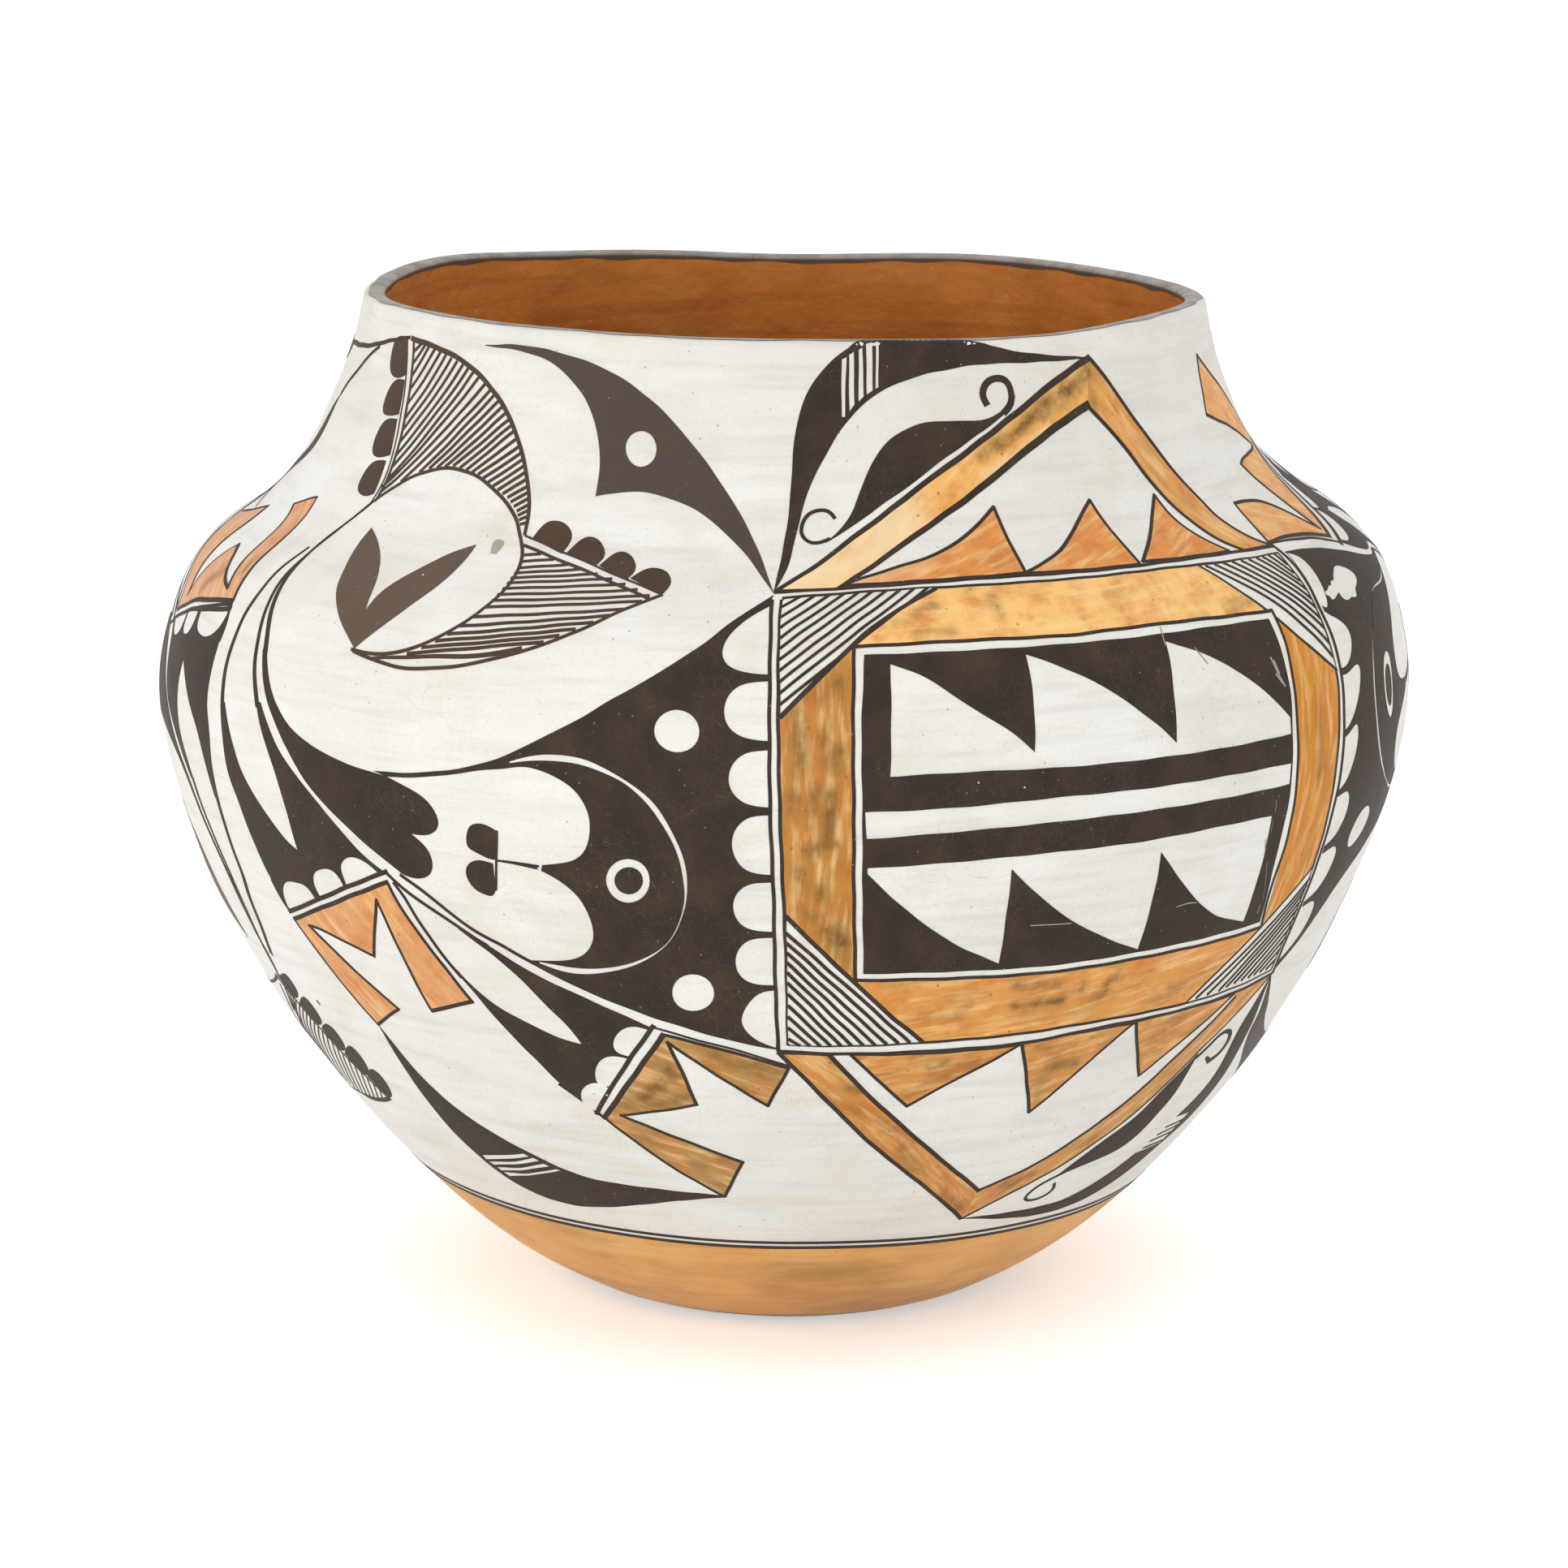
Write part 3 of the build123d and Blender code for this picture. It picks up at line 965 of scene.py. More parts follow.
def lower_teeth(paint):
    teeth = (
        ((1048, 1299), (1082, 1331), (1117, 1363), (1160, 1339), (1210, 1313), (1257, 1287), (1150, 1297)),
        ((1259, 1286), (1265, 1330), (1268, 1370), (1300, 1344), (1350, 1300), (1397, 1260), (1330, 1272)),
        ((1400, 1258), (1401, 1290), (1403, 1325), (1450, 1287), (1490, 1253), (1520, 1225), (1460, 1243)),
    )
    for corner, fall, tip, rise, last, end, base in teeth:
        paint.orange("lower_teeth", (corner, fall, tip), (tip, rise, last, end), (end, base, corner))


def lower_scroll(paint):
    upper = ((1300, 1450), (1360, 1405), (1400, 1375), (1430, 1345), (1460, 1315), (1476, 1298))
    lower = (
        (1476, 1298), (1447, 1347), (1427, 1371), (1400, 1399), (1370, 1420), (1345, 1431), (1300, 1450),
    )
    outer_curl = (
        (1474, 1303), (1490, 1288), (1503, 1275), (1513, 1270.5),
        (1515, 1277), (1508, 1290), (1499, 1300), (1489, 1307),
    )
    bead = ((1488, 1305), 3, 4)
    inner_curl = (
        (1310, 1445), (1290, 1455), (1270, 1468), (1263, 1477), (1280, 1476), (1296, 1466), (1299, 1458),
    )
    paint.black(upper, lower)
    paint.taper(BASE, HEAVY, outer_curl)
    paint.brush(LINE, inner_curl)
    paint.dot(BLACK, *bead)


def lower_feather(paint):
    upper = (
        (1184, 1501), (1240, 1494), (1290, 1484), (1330, 1468), (1400, 1420), (1445, 1380),
        (1480, 1345), (1505, 1310), (1520, 1280), (1540, 1245), (1567, 1199),
    )
    lower = (
        (1567, 1199), (1556, 1226), (1541, 1263), (1521, 1302), (1502, 1332), (1467, 1374),
        (1430, 1408), (1400, 1434), (1350, 1469), (1300, 1491), (1250, 1500), (1184, 1501),
    )
    window = ((1398, 1421), (1447, 1377))
    window_end = ((1466, 1369), (1430, 1407))
    stripes = (
        ((1409, 1414), (1437, 1402)), ((1417, 1406), (1446, 1392)),
        ((1426, 1398), (1455, 1383)), ((1436, 1389), (1462, 1376)),
    )
    paint.black(upper, lower)
    paint.white(window, window_end)
    paint.brush(THIN, *stripes)


def panel_frame(paint):
    left_outside = ((951, 740), (949, 800), (949, 1000), (953, 1100), (955, 1200), (959, 1294))
    left_inside = ((963, 740), (960, 790), (959, 900), (962, 1030), (965, 1100), (969, 1190), (971, 1287))
    top_outside = (
        (955, 730), (1040, 725), (1180, 715), (1260, 709.5),
        (1360, 702), (1440, 692), (1520, 680.5), (1567, 673.5),
    )
    top_inside = (
        (965, 737), (1040, 731.5), (1140, 725), (1280, 716.5),
        (1360, 709.5), (1440, 700), (1520, 691), (1574, 682),
    )
    right_outside = (
        (1568, 672), (1599, 701), (1624, 745), (1647, 803), (1656, 870),
        (1656, 905), (1646, 983), (1623, 1063), (1590, 1145), (1568, 1198),
    )
    right_inside = (
        (1574, 682), (1602, 716), (1628, 766), (1646, 827), (1650, 880),
        (1646, 945), (1630, 1027), (1600, 1113), (1566, 1193),
    )
    bottom_outside = (
        (959, 1295), (1050, 1298.5), (1160, 1294), (1260, 1285),
        (1350, 1267), (1450, 1246), (1540, 1214), (1568, 1198),
    )
    bottom_inside = (
        (972, 1287), (1050, 1288), (1140, 1284), (1260, 1273),
        (1340, 1260), (1463, 1235), (1530, 1212), (1566, 1194),
    )
    paint.white(left_outside, bottom_outside, right_outside[::-1], top_outside[::-1])
    bars = (
        ("left_bar", left_inside, ((1053, 1208), (1052, 1000), (1052, 797))),
        ("top_bar", top_inside, ((1567, 751), (1440, 765), (1320, 782), (1160, 791), (1052, 797))),
        ("right_bar", right_inside, ((1554, 1141), (1581, 1050), (1599, 945), (1595, 850), (1567, 752))),
        ("bottom_bar", bottom_inside, ((1554, 1141), (1400, 1181), (1300, 1197), (1055, 1208))),
    )
    for wash, outside, inside in bars:
        paint.fill(ORANGE, outside, inside, wash=wash)
    paint.brush(LINE, left_outside, left_inside, top_outside, top_inside)
    paint.brush(BASE, right_outside, right_inside)
    paint.brush(LINE, bottom_outside, bottom_inside)


def panel_corners(paint):
    top_left = ((1152, 726), (1110, 750), (1070, 778), (1050, 796), (1000, 845), (962, 883))
    bottom_left = ((969, 1130), (1010, 1170), (1050, 1208), (1090, 1245), (1136, 1283))
    top_right = ((1478, 698), (1540, 737), (1600, 785), (1647, 826))
    bottom_right = ((1618, 1067), (1580, 1112), (1560, 1135), (1520, 1177), (1463, 1233))
    corners = (
        (top_left, ((962, 883), (961, 790), (964, 740)), ((967, 738), (1060, 731), (1152, 724))),
        (bottom_left, ((1136, 1284), (1050, 1288), (974, 1288)), ((971, 1286), (970, 1200), (969, 1130))),
        (top_right, ((1647, 826), (1628, 766), (1602, 716)), ((1574, 682), (1530, 690), (1478, 698))),
        (
            bottom_right,
            ((1463, 1235), (1530, 1212), (1566, 1194)),
            ((1566, 1193), (1600, 1113), (1618, 1067)),
        ),
    )
    top_left_ends = ((963, 748), (961, 800), (961, 868)), ((985, 736), (1060, 730), (1142, 725))
    bottom_left_ends = ((969, 1150), (971, 1210), (972, 1281)), ((1120, 1284), (1050, 1288), (984, 1288))
    top_right_strokes = (
        (1, (1487, 698), (1641.5, 808)), (3, (1508, 694), (1631.5, 774)), (5, (1530, 691.5), (1621, 748.5)),
        (7, (1549, 688), (1608, 725.5)), (10, (1571, 683.5), (1585, 695)),
    )
    bottom_right_strokes = (
        (1, (1474, 1229.5), (1613, 1083)), (3, (1502, 1220), (1606, 1100)), (5, (1521, 1211), (1598, 1120)),
        (7, (1538.5, 1203.5), (1589, 1143)), (10, (1560, 1194), (1571, 1182)),
    )
    for corner in corners:
        paint.white(*corner)
    paint.brush(LINE, top_right, bottom_right)
    paint.brush(BASE, top_left, bottom_left)
    paint.hatch(HATCH, *top_left_ends, count=10)
    paint.hatch(LINE, *bottom_left_ends, count=11)
    paint.fan(LINE, *top_right_strokes)
    paint.fan(LINE, *bottom_right_strokes)


def panel_middle(paint):
    left = ((1052, 797), (1051, 900), (1052, 1000), (1052, 1100), (1054, 1208))
    top = (
        (1052, 797), (1160, 791), (1260, 786), (1320, 782.5),
        (1360, 777.5), (1440, 767.5), (1520, 758.5), (1567, 752),
    )
    right = (
        (1567, 752), (1586, 800), (1595, 850), (1599, 900), (1599, 945),
        (1593, 1000), (1581, 1050), (1564, 1100), (1554, 1141),
    )
    bottom = ((1055, 1208), (1160, 1206), (1300, 1197), (1400, 1181), (1500, 1159), (1554, 1142))
    black_left = ((1065, 808), (1061.5, 900), (1062.5, 1000), (1062.5, 1100), (1064, 1200))
    black_top = ((1065, 807), (1200, 801), (1280, 796), (1340, 791), (1400, 785), (1480, 774), (1563, 762))
    black_right = (
        (1563, 762), (1578, 800), (1589.5, 850), (1592.5, 900),
        (1592.5, 940), (1585.5, 1000), (1571, 1060), (1552, 1136),
    )
    black_bottom = (
        (1064, 1200), (1150, 1198), (1230, 1194.5), (1300, 1189),
        (1400, 1173.5), (1500, 1151.5), (1552, 1136),
    )
    paint.white(left, bottom, right[::-1], top[::-1])
    paint.brush(LINE, left, top, right, bottom)
    paint.black(black_left, black_bottom, black_right[::-1], black_top[::-1])


def panel_sails(paint):
    first_sail = ((1097, 957), (1097, 818)), ((1097, 818), (1140, 835), (1190, 867), (1250, 905), (1275, 927))
    second_sail = (
        ((1275, 927), (1274, 870), (1264, 806)), ((1264, 806), (1340, 836), (1410, 880), (1450, 915)),
    )
    third_sail = (
        ((1450, 915), (1447, 860), (1436, 790)), ((1436, 790), (1500, 813), (1560, 853), (1590, 884)),
    )
    upper_foot = ((1591, 904), (1500, 923), (1400, 937), (1300, 946), (1200, 951), (1097, 957))
    bar_top = ((1066, 1001), (1180, 995), (1300, 983), (1400, 973), (1500, 958), (1591, 940))
    bar_bottom = ((1589, 966), (1500, 985), (1400, 1001), (1300, 1013), (1180, 1025), (1068, 1034))
    lower_head = ((1069, 1070), (1180, 1062), (1300, 1050), (1400, 1038), (1500, 1019), (1567, 1005))
    lower_sails = (
        ((1567, 1005), (1556, 1060), (1532, 1135)),
        ((1532, 1135), (1490, 1123), (1450, 1078), (1431, 1050)),
        ((1431, 1050), (1422, 1100), (1402, 1170)),
        ((1402, 1170), (1350, 1150), (1290, 1112), (1247, 1071)),
        ((1247, 1071), (1241, 1120), (1231, 1187)),
        ((1231, 1187), (1180, 1165), (1120, 1124), (1069, 1077)),
    )
    paint.white(*first_sail, *second_sail, *third_sail, upper_foot)
    paint.white(bar_top, bar_bottom)
    paint.white(lower_head, *lower_sails)


def panel():
    return painted(
        feather, scroll_leaf, upper_chevron, lower_chevron, lower_scroll, lower_feather, panel_frame,
        panel_corners, panel_middle, panel_sails, upper_teeth, lower_teeth,
    )


# Places of the left half that are seen again, turned over, right of the panel
TURNED_RIGHT = (
    ((952, 732), (1568, 1197)), ((957, 1292), (1577, 677)), ((956, 1217), (1627, 742)),
    ((955, 1151), (1653, 822)), ((952, 1082), (1657, 901)), ((950, 999), (1648, 976)),
    ((949, 918), (1630, 1048)), ((948, 834), (1607, 1114)), ((834, 901), (1675, 1016)),
    ((790, 980), (1702, 947)), ((974, 1317), (1567, 670)), ((946, 1362), (1520, 621)),
    ((822, 1284), (1617, 641)), ((858, 1361), (1528, 572)), ((765, 1374), (1543, 548)),
    ((915, 1432), (1487, 510)), ((893, 1474), (1474, 438)), ((920, 1255), (1630, 722)),
    ((910, 1185), (1663, 786)), ((906, 1117), (1675, 853)), ((905, 1040), (1671, 924)),
    ((901, 960), (1659, 995)), ((894, 876), (1640, 1064)), ((890, 803), (1613, 1126)),
    ((841, 1118), (1687, 752)), ((846, 1085), (1690, 800)), ((838, 1045), (1694, 860)),
    ((822, 1015), (1696, 915)), ((730, 1150), (1708, 748)), ((664, 1070), (1732, 836)),
    ((727, 1025), (1717, 927)), ((854, 1223), (1653, 717)), ((803, 1266), (1655, 669)),
    ((817, 1275), (1648, 669)), ((717, 1287), (1636, 628)), ((900, 1280), (1605, 675)),
    ((800, 1253), (1656, 681)), ((747, 1085), (1717, 847)), ((801, 1085), (1706, 847)),
    ((774, 1058), (1712, 873)), ((774, 1112), (1712, 827)), ((834, 875), (1666, 1039)),
    ((834, 927), (1684, 993)), ((900, 768), (1597, 1162)), ((860, 798), (1624, 1128)),
    ((800, 836), (1653, 1080)), ((880, 645), (1556, 1256)), ((840, 620), (1557.5, 1271)),
    ((909, 628), (1546, 1260)), ((863, 560), (1530, 1298)), ((830, 520), (1519, 1326)),
    ((828, 1156), (1688.5, 733)), ((800, 1180), (1694, 717)), ((760, 1196), (1706, 713)),
    ((760, 955), (1710, 963)),
)

# Places of the left half that are seen again, turned over, at the left edge, half a turn further round
TURNED_LEFT = (
    ((491, 1243), (365, 620)), ((468, 1261), (389, 613)), ((381, 1140), (280, 724)),
    ((461, 1178), (293, 671)), ((464, 1108), (232, 733)), ((532, 1245), (329, 624)),
    ((363, 1132), (292, 735)), ((367, 1048), (226, 812)), ((358, 1123), (281, 757)),
    ((462, 617), (344, 1203)), ((505, 417), (481, 1352)), ((380, 675), (335, 1178)),
    ((335, 1084), (270, 787)), ((312, 1035), (260, 832)), ((293, 985), (255, 870)),
    ((281, 950), (257, 900)), ((274, 905), (262, 945)), ((272, 865), (270, 985)),
    ((281, 812), (283, 1035)), ((298, 765), (297, 1075)), ((322, 727), (311, 1110)),
    ((350, 697), (324, 1145)), ((300, 955), (245, 908)), ((343, 965), (219, 880)),
    ((345, 715), (297, 1097)), ((325, 755), (275, 1052)), ((316, 800), (253, 1003)),
    ((350, 714), (290, 1095)), ((338, 735), (268, 1048)),
)


def bend_terms(places):
    """Terms of the bend that the potter's hand put into the turned copy."""
    along, up = places.T / GIRTH
    return np.column_stack([np.ones(len(places)), along, up, along**2, along * up, up**2])


def turned_copy():
    """Map that turns the left half over onto the place right of the panel, fitted to what is seen twice."""
    source = on_sheet([pair[0] for pair in TURNED_RIGHT + TURNED_LEFT])
    target = on_sheet([pair[1] for pair in TURNED_RIGHT + TURNED_LEFT])
    facing = np.maximum(np.cos(target[:, 0] / GIRTH), COPY_FACING)
    target[len(TURNED_RIGHT) :, 0] += SHEET_TURN / 2
    weighted = bend_terms(source) * facing[:, None]
    bend = np.linalg.lstsq(weighted, (source + target) * facing[:, None], rcond=None)[0]
    missed = source + target - bend_terms(source) @ bend

    def nearness(places):
        gaps = np.linalg.norm(places[:, None] - source[None], axis=2)
        return np.exp(-((gaps / COPY_REACH) ** 2) / 2)

    mend = np.linalg.solve(nearness(source) + COPY_DOUBT * np.eye(len(source)), missed)
    return lambda places: bend_terms(places) @ bend + nearness(places) @ mend - places


def wear():
    """Chips and scratches that show the white slip through the paint, and stains."""
    paint = Painting()
    patch = (
        (1643, 700), (1646, 697), (1651, 697), (1657, 701), (1663, 707), (1668, 717), (1672, 735),
        (1668, 736), (1663, 734), (1660, 736), (1657, 734), (1653, 736), (1651, 731), (1649, 731),
        (1645, 738), (1641, 739), (1638, 735), (1634, 733), (1632, 729), (1635, 727), (1637, 722),
        (1640, 721), (1639, 717), (1643, 714), (1642, 709),
    )
    scratches = (
        ((1573, 985), (1571, 1000)), ((1568, 1010), (1566, 1026)),
        ((1561, 1062), (1559, 1090), (1556, 1108)), ((441, 724), (450, 716), (462, 711), (489, 703)),
    )
    grey_scratches = (
        ((1450, 1117), (1462, 1113), (1474, 1112)), ((1552, 1115), (1549, 1125)),
        ((1560, 1035), (1559, 1045)), ((1270, 1140), (1300, 1139), (1320, 1137)),
    )
    chips = ((748, 1349), (521, 708), (663, 1070), (1206, 964), (1262, 970))
    scuffs = (
        ((1565, 810), (1574, 828), (1583, 845)), ((1569, 814), (1576, 829)), ((1572, 830), (1580, 841)),
    )
    stain = ((604, 682), (608, 668), (614, 665), (621, 669), (616, 677), (611, 683))
    tan_scratches = (((1430, 773), (1433, 785), (1436, 795)), ((1472, 798), (1480, 808), (1488, 818)))
    paint.add(WHITE, on_sheet(patch))
    paint.gap(SCRATCH, *scratches)
    for chip in chips:
        paint.dot(WHITE, chip, CHIP, CHIP)
    paint.ink = "stain"
    paint.black(stain)
    paint.brush(SCRATCH, *tan_scratches)
    paint.ink = "scuff"
    paint.brush(FINE, *scuffs)
    paint.brush(SCRATCH, *grey_scratches)
    return paint.shapes


def whole_painting():
    """The left half, its turned copy and the panel, and all of them again on the far side."""
    fans = painted(head, lower_fan)
    left = left_half()
    once = painted(upper_fan, edge_fan, neck_leaf, lower_leaf) + fans + left
    turned = turned_copy()
    copied = []
    for shape in left:
        wash = COPY_WASHES.get(shape.wash, shape.wash)
        copied.append(shape._replace(outline=turned(shape.outline), wash=wash))
    copied += panel()
    front, far = (
        once + [shape._replace(outline=turned(shape.outline) + shift) for shape in fans] + copied
        for shift in FAN_SHIFTS
    )
    return front + [shape._replace(outline=shape.outline + [SHEET_TURN / 2, 0]) for shape in far] + wear()


def smear_places():
    """Sheet places close enough to carry the smears' soft edges, in front and on the far side."""
    places = []
    for half, _, line in SMEARS:
        spots = drawn(line)
        reach = SMEAR_REACH * half * MM
        least, most = spots.min(axis=0) - reach, spots.max(axis=0) + reach
        x, y = np.meshgrid(*[np.arange(start, end, SMEAR_STEP) for start, end in zip(least, most)])
        places.append(np.column_stack([x.ravel(), y.ravel()]))
    places = np.vstack(places)
    far_side = places - np.column_stack([np.sign(places[:, 0]), np.zeros(len(places))]) * SHEET_TURN / 2
    return np.vstack([places, far_side])


def smeared(places):
    """How dark a smear lies on places of the sheet, in front and behind, below 0 where it is pale."""
    quarter = SHEET_TURN / 4
    folded = np.column_stack([np.mod(places[:, 0] + quarter, 2 * quarter) - quarter, places[:, 1]])
    dark, pale = np.zeros(len(places)), np.zeros(len(places))
    for half, strength, line in SMEARS:
        gaps = np.linalg.norm(folded[:, None] - drawn(line)[None], axis=2).min(axis=1)
        share = strength * np.exp(-((gaps / (half * MM)) ** 2))
        dark, pale = np.maximum(dark, share), np.minimum(pale, share)
    return dark + pale


def tremor(places):
    """Small waver of the potter's hand."""
    across, up = places.T / MM
    (rise, rise_bend), (run, run_bend) = TREMOR_WAVES
    sideways = np.sin(up / rise + np.sin(across / rise_bend))
    upward = np.sin(across / run + np.sin(up / run_bend))
    return TREMOR * np.column_stack([sideways, upward])


def winds_round(outline, points):
    """Which of the points an outline goes round."""
    x, y = points[:, :1], points[:, 1:]
    start, end = outline, np.roll(outline, -1, axis=0)
    x0, y0, x1, y1 = start[:, 0], start[:, 1], end[:, 0], end[:, 1]
    side = (x1 - x0) * (y - y0) - (x - x0) * (y1 - y0)
    upward = (y0 <= y) & (y1 > y) & (side > 0)
    downward = (y1 <= y) & (y0 > y) & (side < 0)
    return upward.sum(axis=1) != downward.sum(axis=1)


def sheet_triangles(shapes):
    """Triangles over the sheet that follow every outline, and the colour that shows in each."""
    low, high = -SHEET_TURN / 2, SHEET_TURN / 2
    lip = OUTER.length_at_height(RIM_LEVEL)
    bottom, top = BASE_LINE - 2 * BASE_TILT, lip + LIP_REACH
    columns = np.arange(low, high, MESH_STEP)
    body_rows = np.arange(bottom, lip - LIP_REACH, MESH_ROW)
    rows = np.concatenate([body_rows, np.arange(lip - LIP_REACH, top, LIP_ROW)])
    points = [np.array([(x + (i % 2) * MESH_STEP / 2, y) for i, y in enumerate(rows) for x in columns])]
    edges = []
    count = len(points[0])
    for edge in (low, high):
        seam = np.column_stack([np.full(len(rows), edge), rows])
        points.append(seam)
        edges += [(count + i, count + i + 1) for i in range(len(seam) - 1)]
        count += len(seam)
    points.append(smear_places())
    count += len(points[-1])
    for shape in shapes:
        points.append(shape.outline)
        sides = len(shape.outline)
        edges += [(count + i, count + (i + 1) % sides) for i in range(sides)]
        count += sides
    points = np.vstack(points) / MM
    net = delaunay_2d_cdt([Vector(point) for point in points], edges, [], 0, NET_TOLERANCE, False)
    places = np.array(net[0]) * MM
    triangles = np.array(net[2])
    middles = places[triangles].mean(axis=1)
    kept = (middles[:, 0] > low) & (middles[:, 0] < high) & (middles[:, 1] > bottom) & (middles[:, 1] < top)
    triangles, middles = triangles[kept], middles[kept]
    colours = np.full(len(triangles), BARE)
    washes = np.zeros(len(triangles), int)
    for shape in shapes:
        least, most = shape.outline.min(axis=0), shape.outline.max(axis=0)
        near = np.flatnonzero(((middles >= least) & (middles <= most)).all(axis=1))
        painted_over = near[winds_round(shape.outline, middles[near])]
        colours[painted_over] = shape.colour
        washes[painted_over] = list(WASHES).index(shape.wash)
    return places, triangles, colours, washes


def below_lip(outline):
    """An outline kept under the painted top of the lip."""
    lip = OUTER.length_at_height(rim_height(outline[:, 0] / GIRTH) - LIP_ROUND)
    highest = lip + LIP_OVERLAP * LIP_PAINT_START * LIP_ROUND
    return np.column_stack([outline[:, 0], np.minimum(outline[:, 1], highest)])


def round_the_sheet(shapes):
    """Shapes moved onto the sheet, and drawn twice where they cross its ends."""
    placed = []
    for shape in shapes:
        outline = below_lip(shape.outline + tremor(shape.outline))
        middle = outline[:, 0].mean()
        outline = outline - [SHEET_TURN * np.round(middle / SHEET_TURN), 0]
        for turns in (-1, 0, 1):
            moved = outline + [turns * SHEET_TURN, 0]
            if moved[:, 0].min() < SHEET_TURN / 2 and moved[:, 0].max() > -SHEET_TURN / 2:
                placed.append(shape._replace(outline=moved))
    return placed


def ripples(waves, angle, length):
    """Sum of waves over a face, in millimetres."""
    return sum(size * np.sin(times * angle + climb * length + start) for size, times, climb, start in waves)


def unevenness(angle, length):
    """How far the hand-made face stands off its mean outline, which fades towards the lip."""
    lobes, scrapes = ripples(LOBES, angle, length), ripples(SCRAPES, angle, length)
    sway = SWAY_BY_LENGTH(np.clip(length / MM, SWAY[0][0], SWAY[-1][0])) * np.sin(angle)
    fade = np.clip((OUTER.length_at_height(RIM_LEVEL - LIP_ROUND) - length) / UNEVEN_FADE, 0, 1)
    return (lobes + scrapes + sway) * fade * MM


def outer_places(sheet, lift):
    """Points on the jar's outer face and over its lip, or that far off it, for places on the sheet."""
    angle, length = sheet[:, 0] / GIRTH, sheet[:, 1]
    lip_height = rim_height(angle) - LIP_ROUND
    lip = OUTER.length_at_height(lip_height)
    over = np.clip((length - lip) / LIP_ROUND, 0, pi / 2)
    length = np.minimum(length, lip)
    rise = OUTER.height(length + SLOPE_STEP) - OUTER.height(length - SLOPE_STEP)
    run = OUTER.radius(length + SLOPE_STEP) - OUTER.radius(length - SLOPE_STEP)
    slope = np.hypot(rise, run)
    radius = OUTER.radius(length) + unevenness(angle, length) + lift * rise / slope
    height = OUTER.height(length) - lift * run / slope
    half = (radius - INNER.radius_at_height(lip_height)) / 2
    radius = radius - half * (1 - np.cos(over))
    height = height + (LIP_ROUND + lift) * np.sin(over) ** LIP_SQUARENESS
    return np.column_stack([radius * np.sin(angle), -radius * np.cos(angle), height])


def face_normals(places_of, sheet):
    """Outward directions of a face that is given as a function of sheet places."""
    across = places_of(sheet + [SLOPE_STEP, 0]) - places_of(sheet - [SLOPE_STEP, 0])
    up = places_of(sheet + [0, SLOPE_STEP]) - places_of(sheet - [0, SLOPE_STEP])
    normals = np.cross(across, up)
    return normals / np.linalg.norm(normals, axis=1)[:, None]


def piece(name, vertices, faces, normals, sheet, finish, replaced=()):
    """A mesh piece of the jar with its own normals and its places on the unrolled sheet."""
    mesh = bpy.data.meshes.new(name)
    mesh.from_pydata(vertices.tolist(), [], faces)
    mesh.shade_smooth()
    mesh.normals_split_custom_set_from_vertices(normals.tolist())
    unrolled = mesh.attributes.new("sheet", "FLOAT_VECTOR", "POINT")
    unrolled.data.foreach_set("vector", np.column_stack([sheet, np.zeros(len(sheet))]).ravel())
    mesh.materials.append(finish)
    made = bpy.data.objects.new(name, mesh)
    bpy.context.scene.collection.objects.link(made)
    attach(made, "root")
    if replaced:
        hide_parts(*replaced)
    return made


def paint_piece(name, places, triangles, washes, finish):
    """A thin closed coat of paint over triangles of the sheet, with the tone and the lean of its washes."""
    corners = np.column_stack([triangles.ravel(), np.repeat(washes, 3)])
    used, index = np.unique(corners, axis=0, return_inverse=True)
    top = index.reshape(-1, 3)
    sheet = places[used[:, 0]]
    count = len(used)
    sides = np.vstack([top[:, [0, 1]], top[:, [1, 2]], top[:, [2, 0]]])
    codes = sides[:, 0].astype(np.int64) * count + sides[:, 1]
    opposite = sides[:, 1].astype(np.int64) * count + sides[:, 0]
    rim = sides[~np.isin(codes, opposite)]
    faces = top.tolist() + (top[:, ::-1] + count).tolist()
    faces += np.column_stack([rim[:, 1], rim[:, 0], rim[:, 0] + count, rim[:, 1] + count]).tolist()
    normals = face_normals(lambda spots: outer_places(spots, PAINT_LIFT), sheet)
    vertices = np.vstack([outer_places(sheet, PAINT_LIFT), outer_places(sheet, -PAINT_SINK)])
    wash = np.array(list(WASHES.values()), float)[used[:, 1]]
    lean = np.radians(wash[:, 4])
    along = sheet[:, 0] * np.cos(lean) + sheet[:, 1] * np.sin(lean)
    across = sheet[:, 1] * np.cos(lean) - sheet[:, 0] * np.sin(lean)
    grain = np.column_stack([along, across])
    normals, grain = np.vstack([normals, normals]), np.vstack([grain, grain])
    made = piece(name, vertices, faces, normals, grain, finish)
    tones = np.column_stack([np.array(tone(*wash[:, :3].T)[:3]).T, wash[:, 3]])
    painted_tone = made.data.attributes.new("wash", "FLOAT_COLOR", "POINT")
    painted_tone.data.foreach_set("color", np.vstack([tones, tones]).ravel())
    smears = smeared(sheet)
    smear = made.data.attributes.new("smear", "FLOAT", "POINT")
    smear.data.foreach_set("value", np.concatenate([smears, smears]))


def ring_faces(rows, turns, first=0, flipped=False):
    """Quads of a grid of rows that closes round the jar."""
    faces = []
    for row in range(rows - 1):
        for turn in range(turns):
            after = (turn + 1) % turns
            low, high = first + row * turns, first + (row + 1) * turns
            quad = [low + turn, low + after, high + after, high + turn]
            faces.append(quad[::-1] if flipped else quad)
    return faces


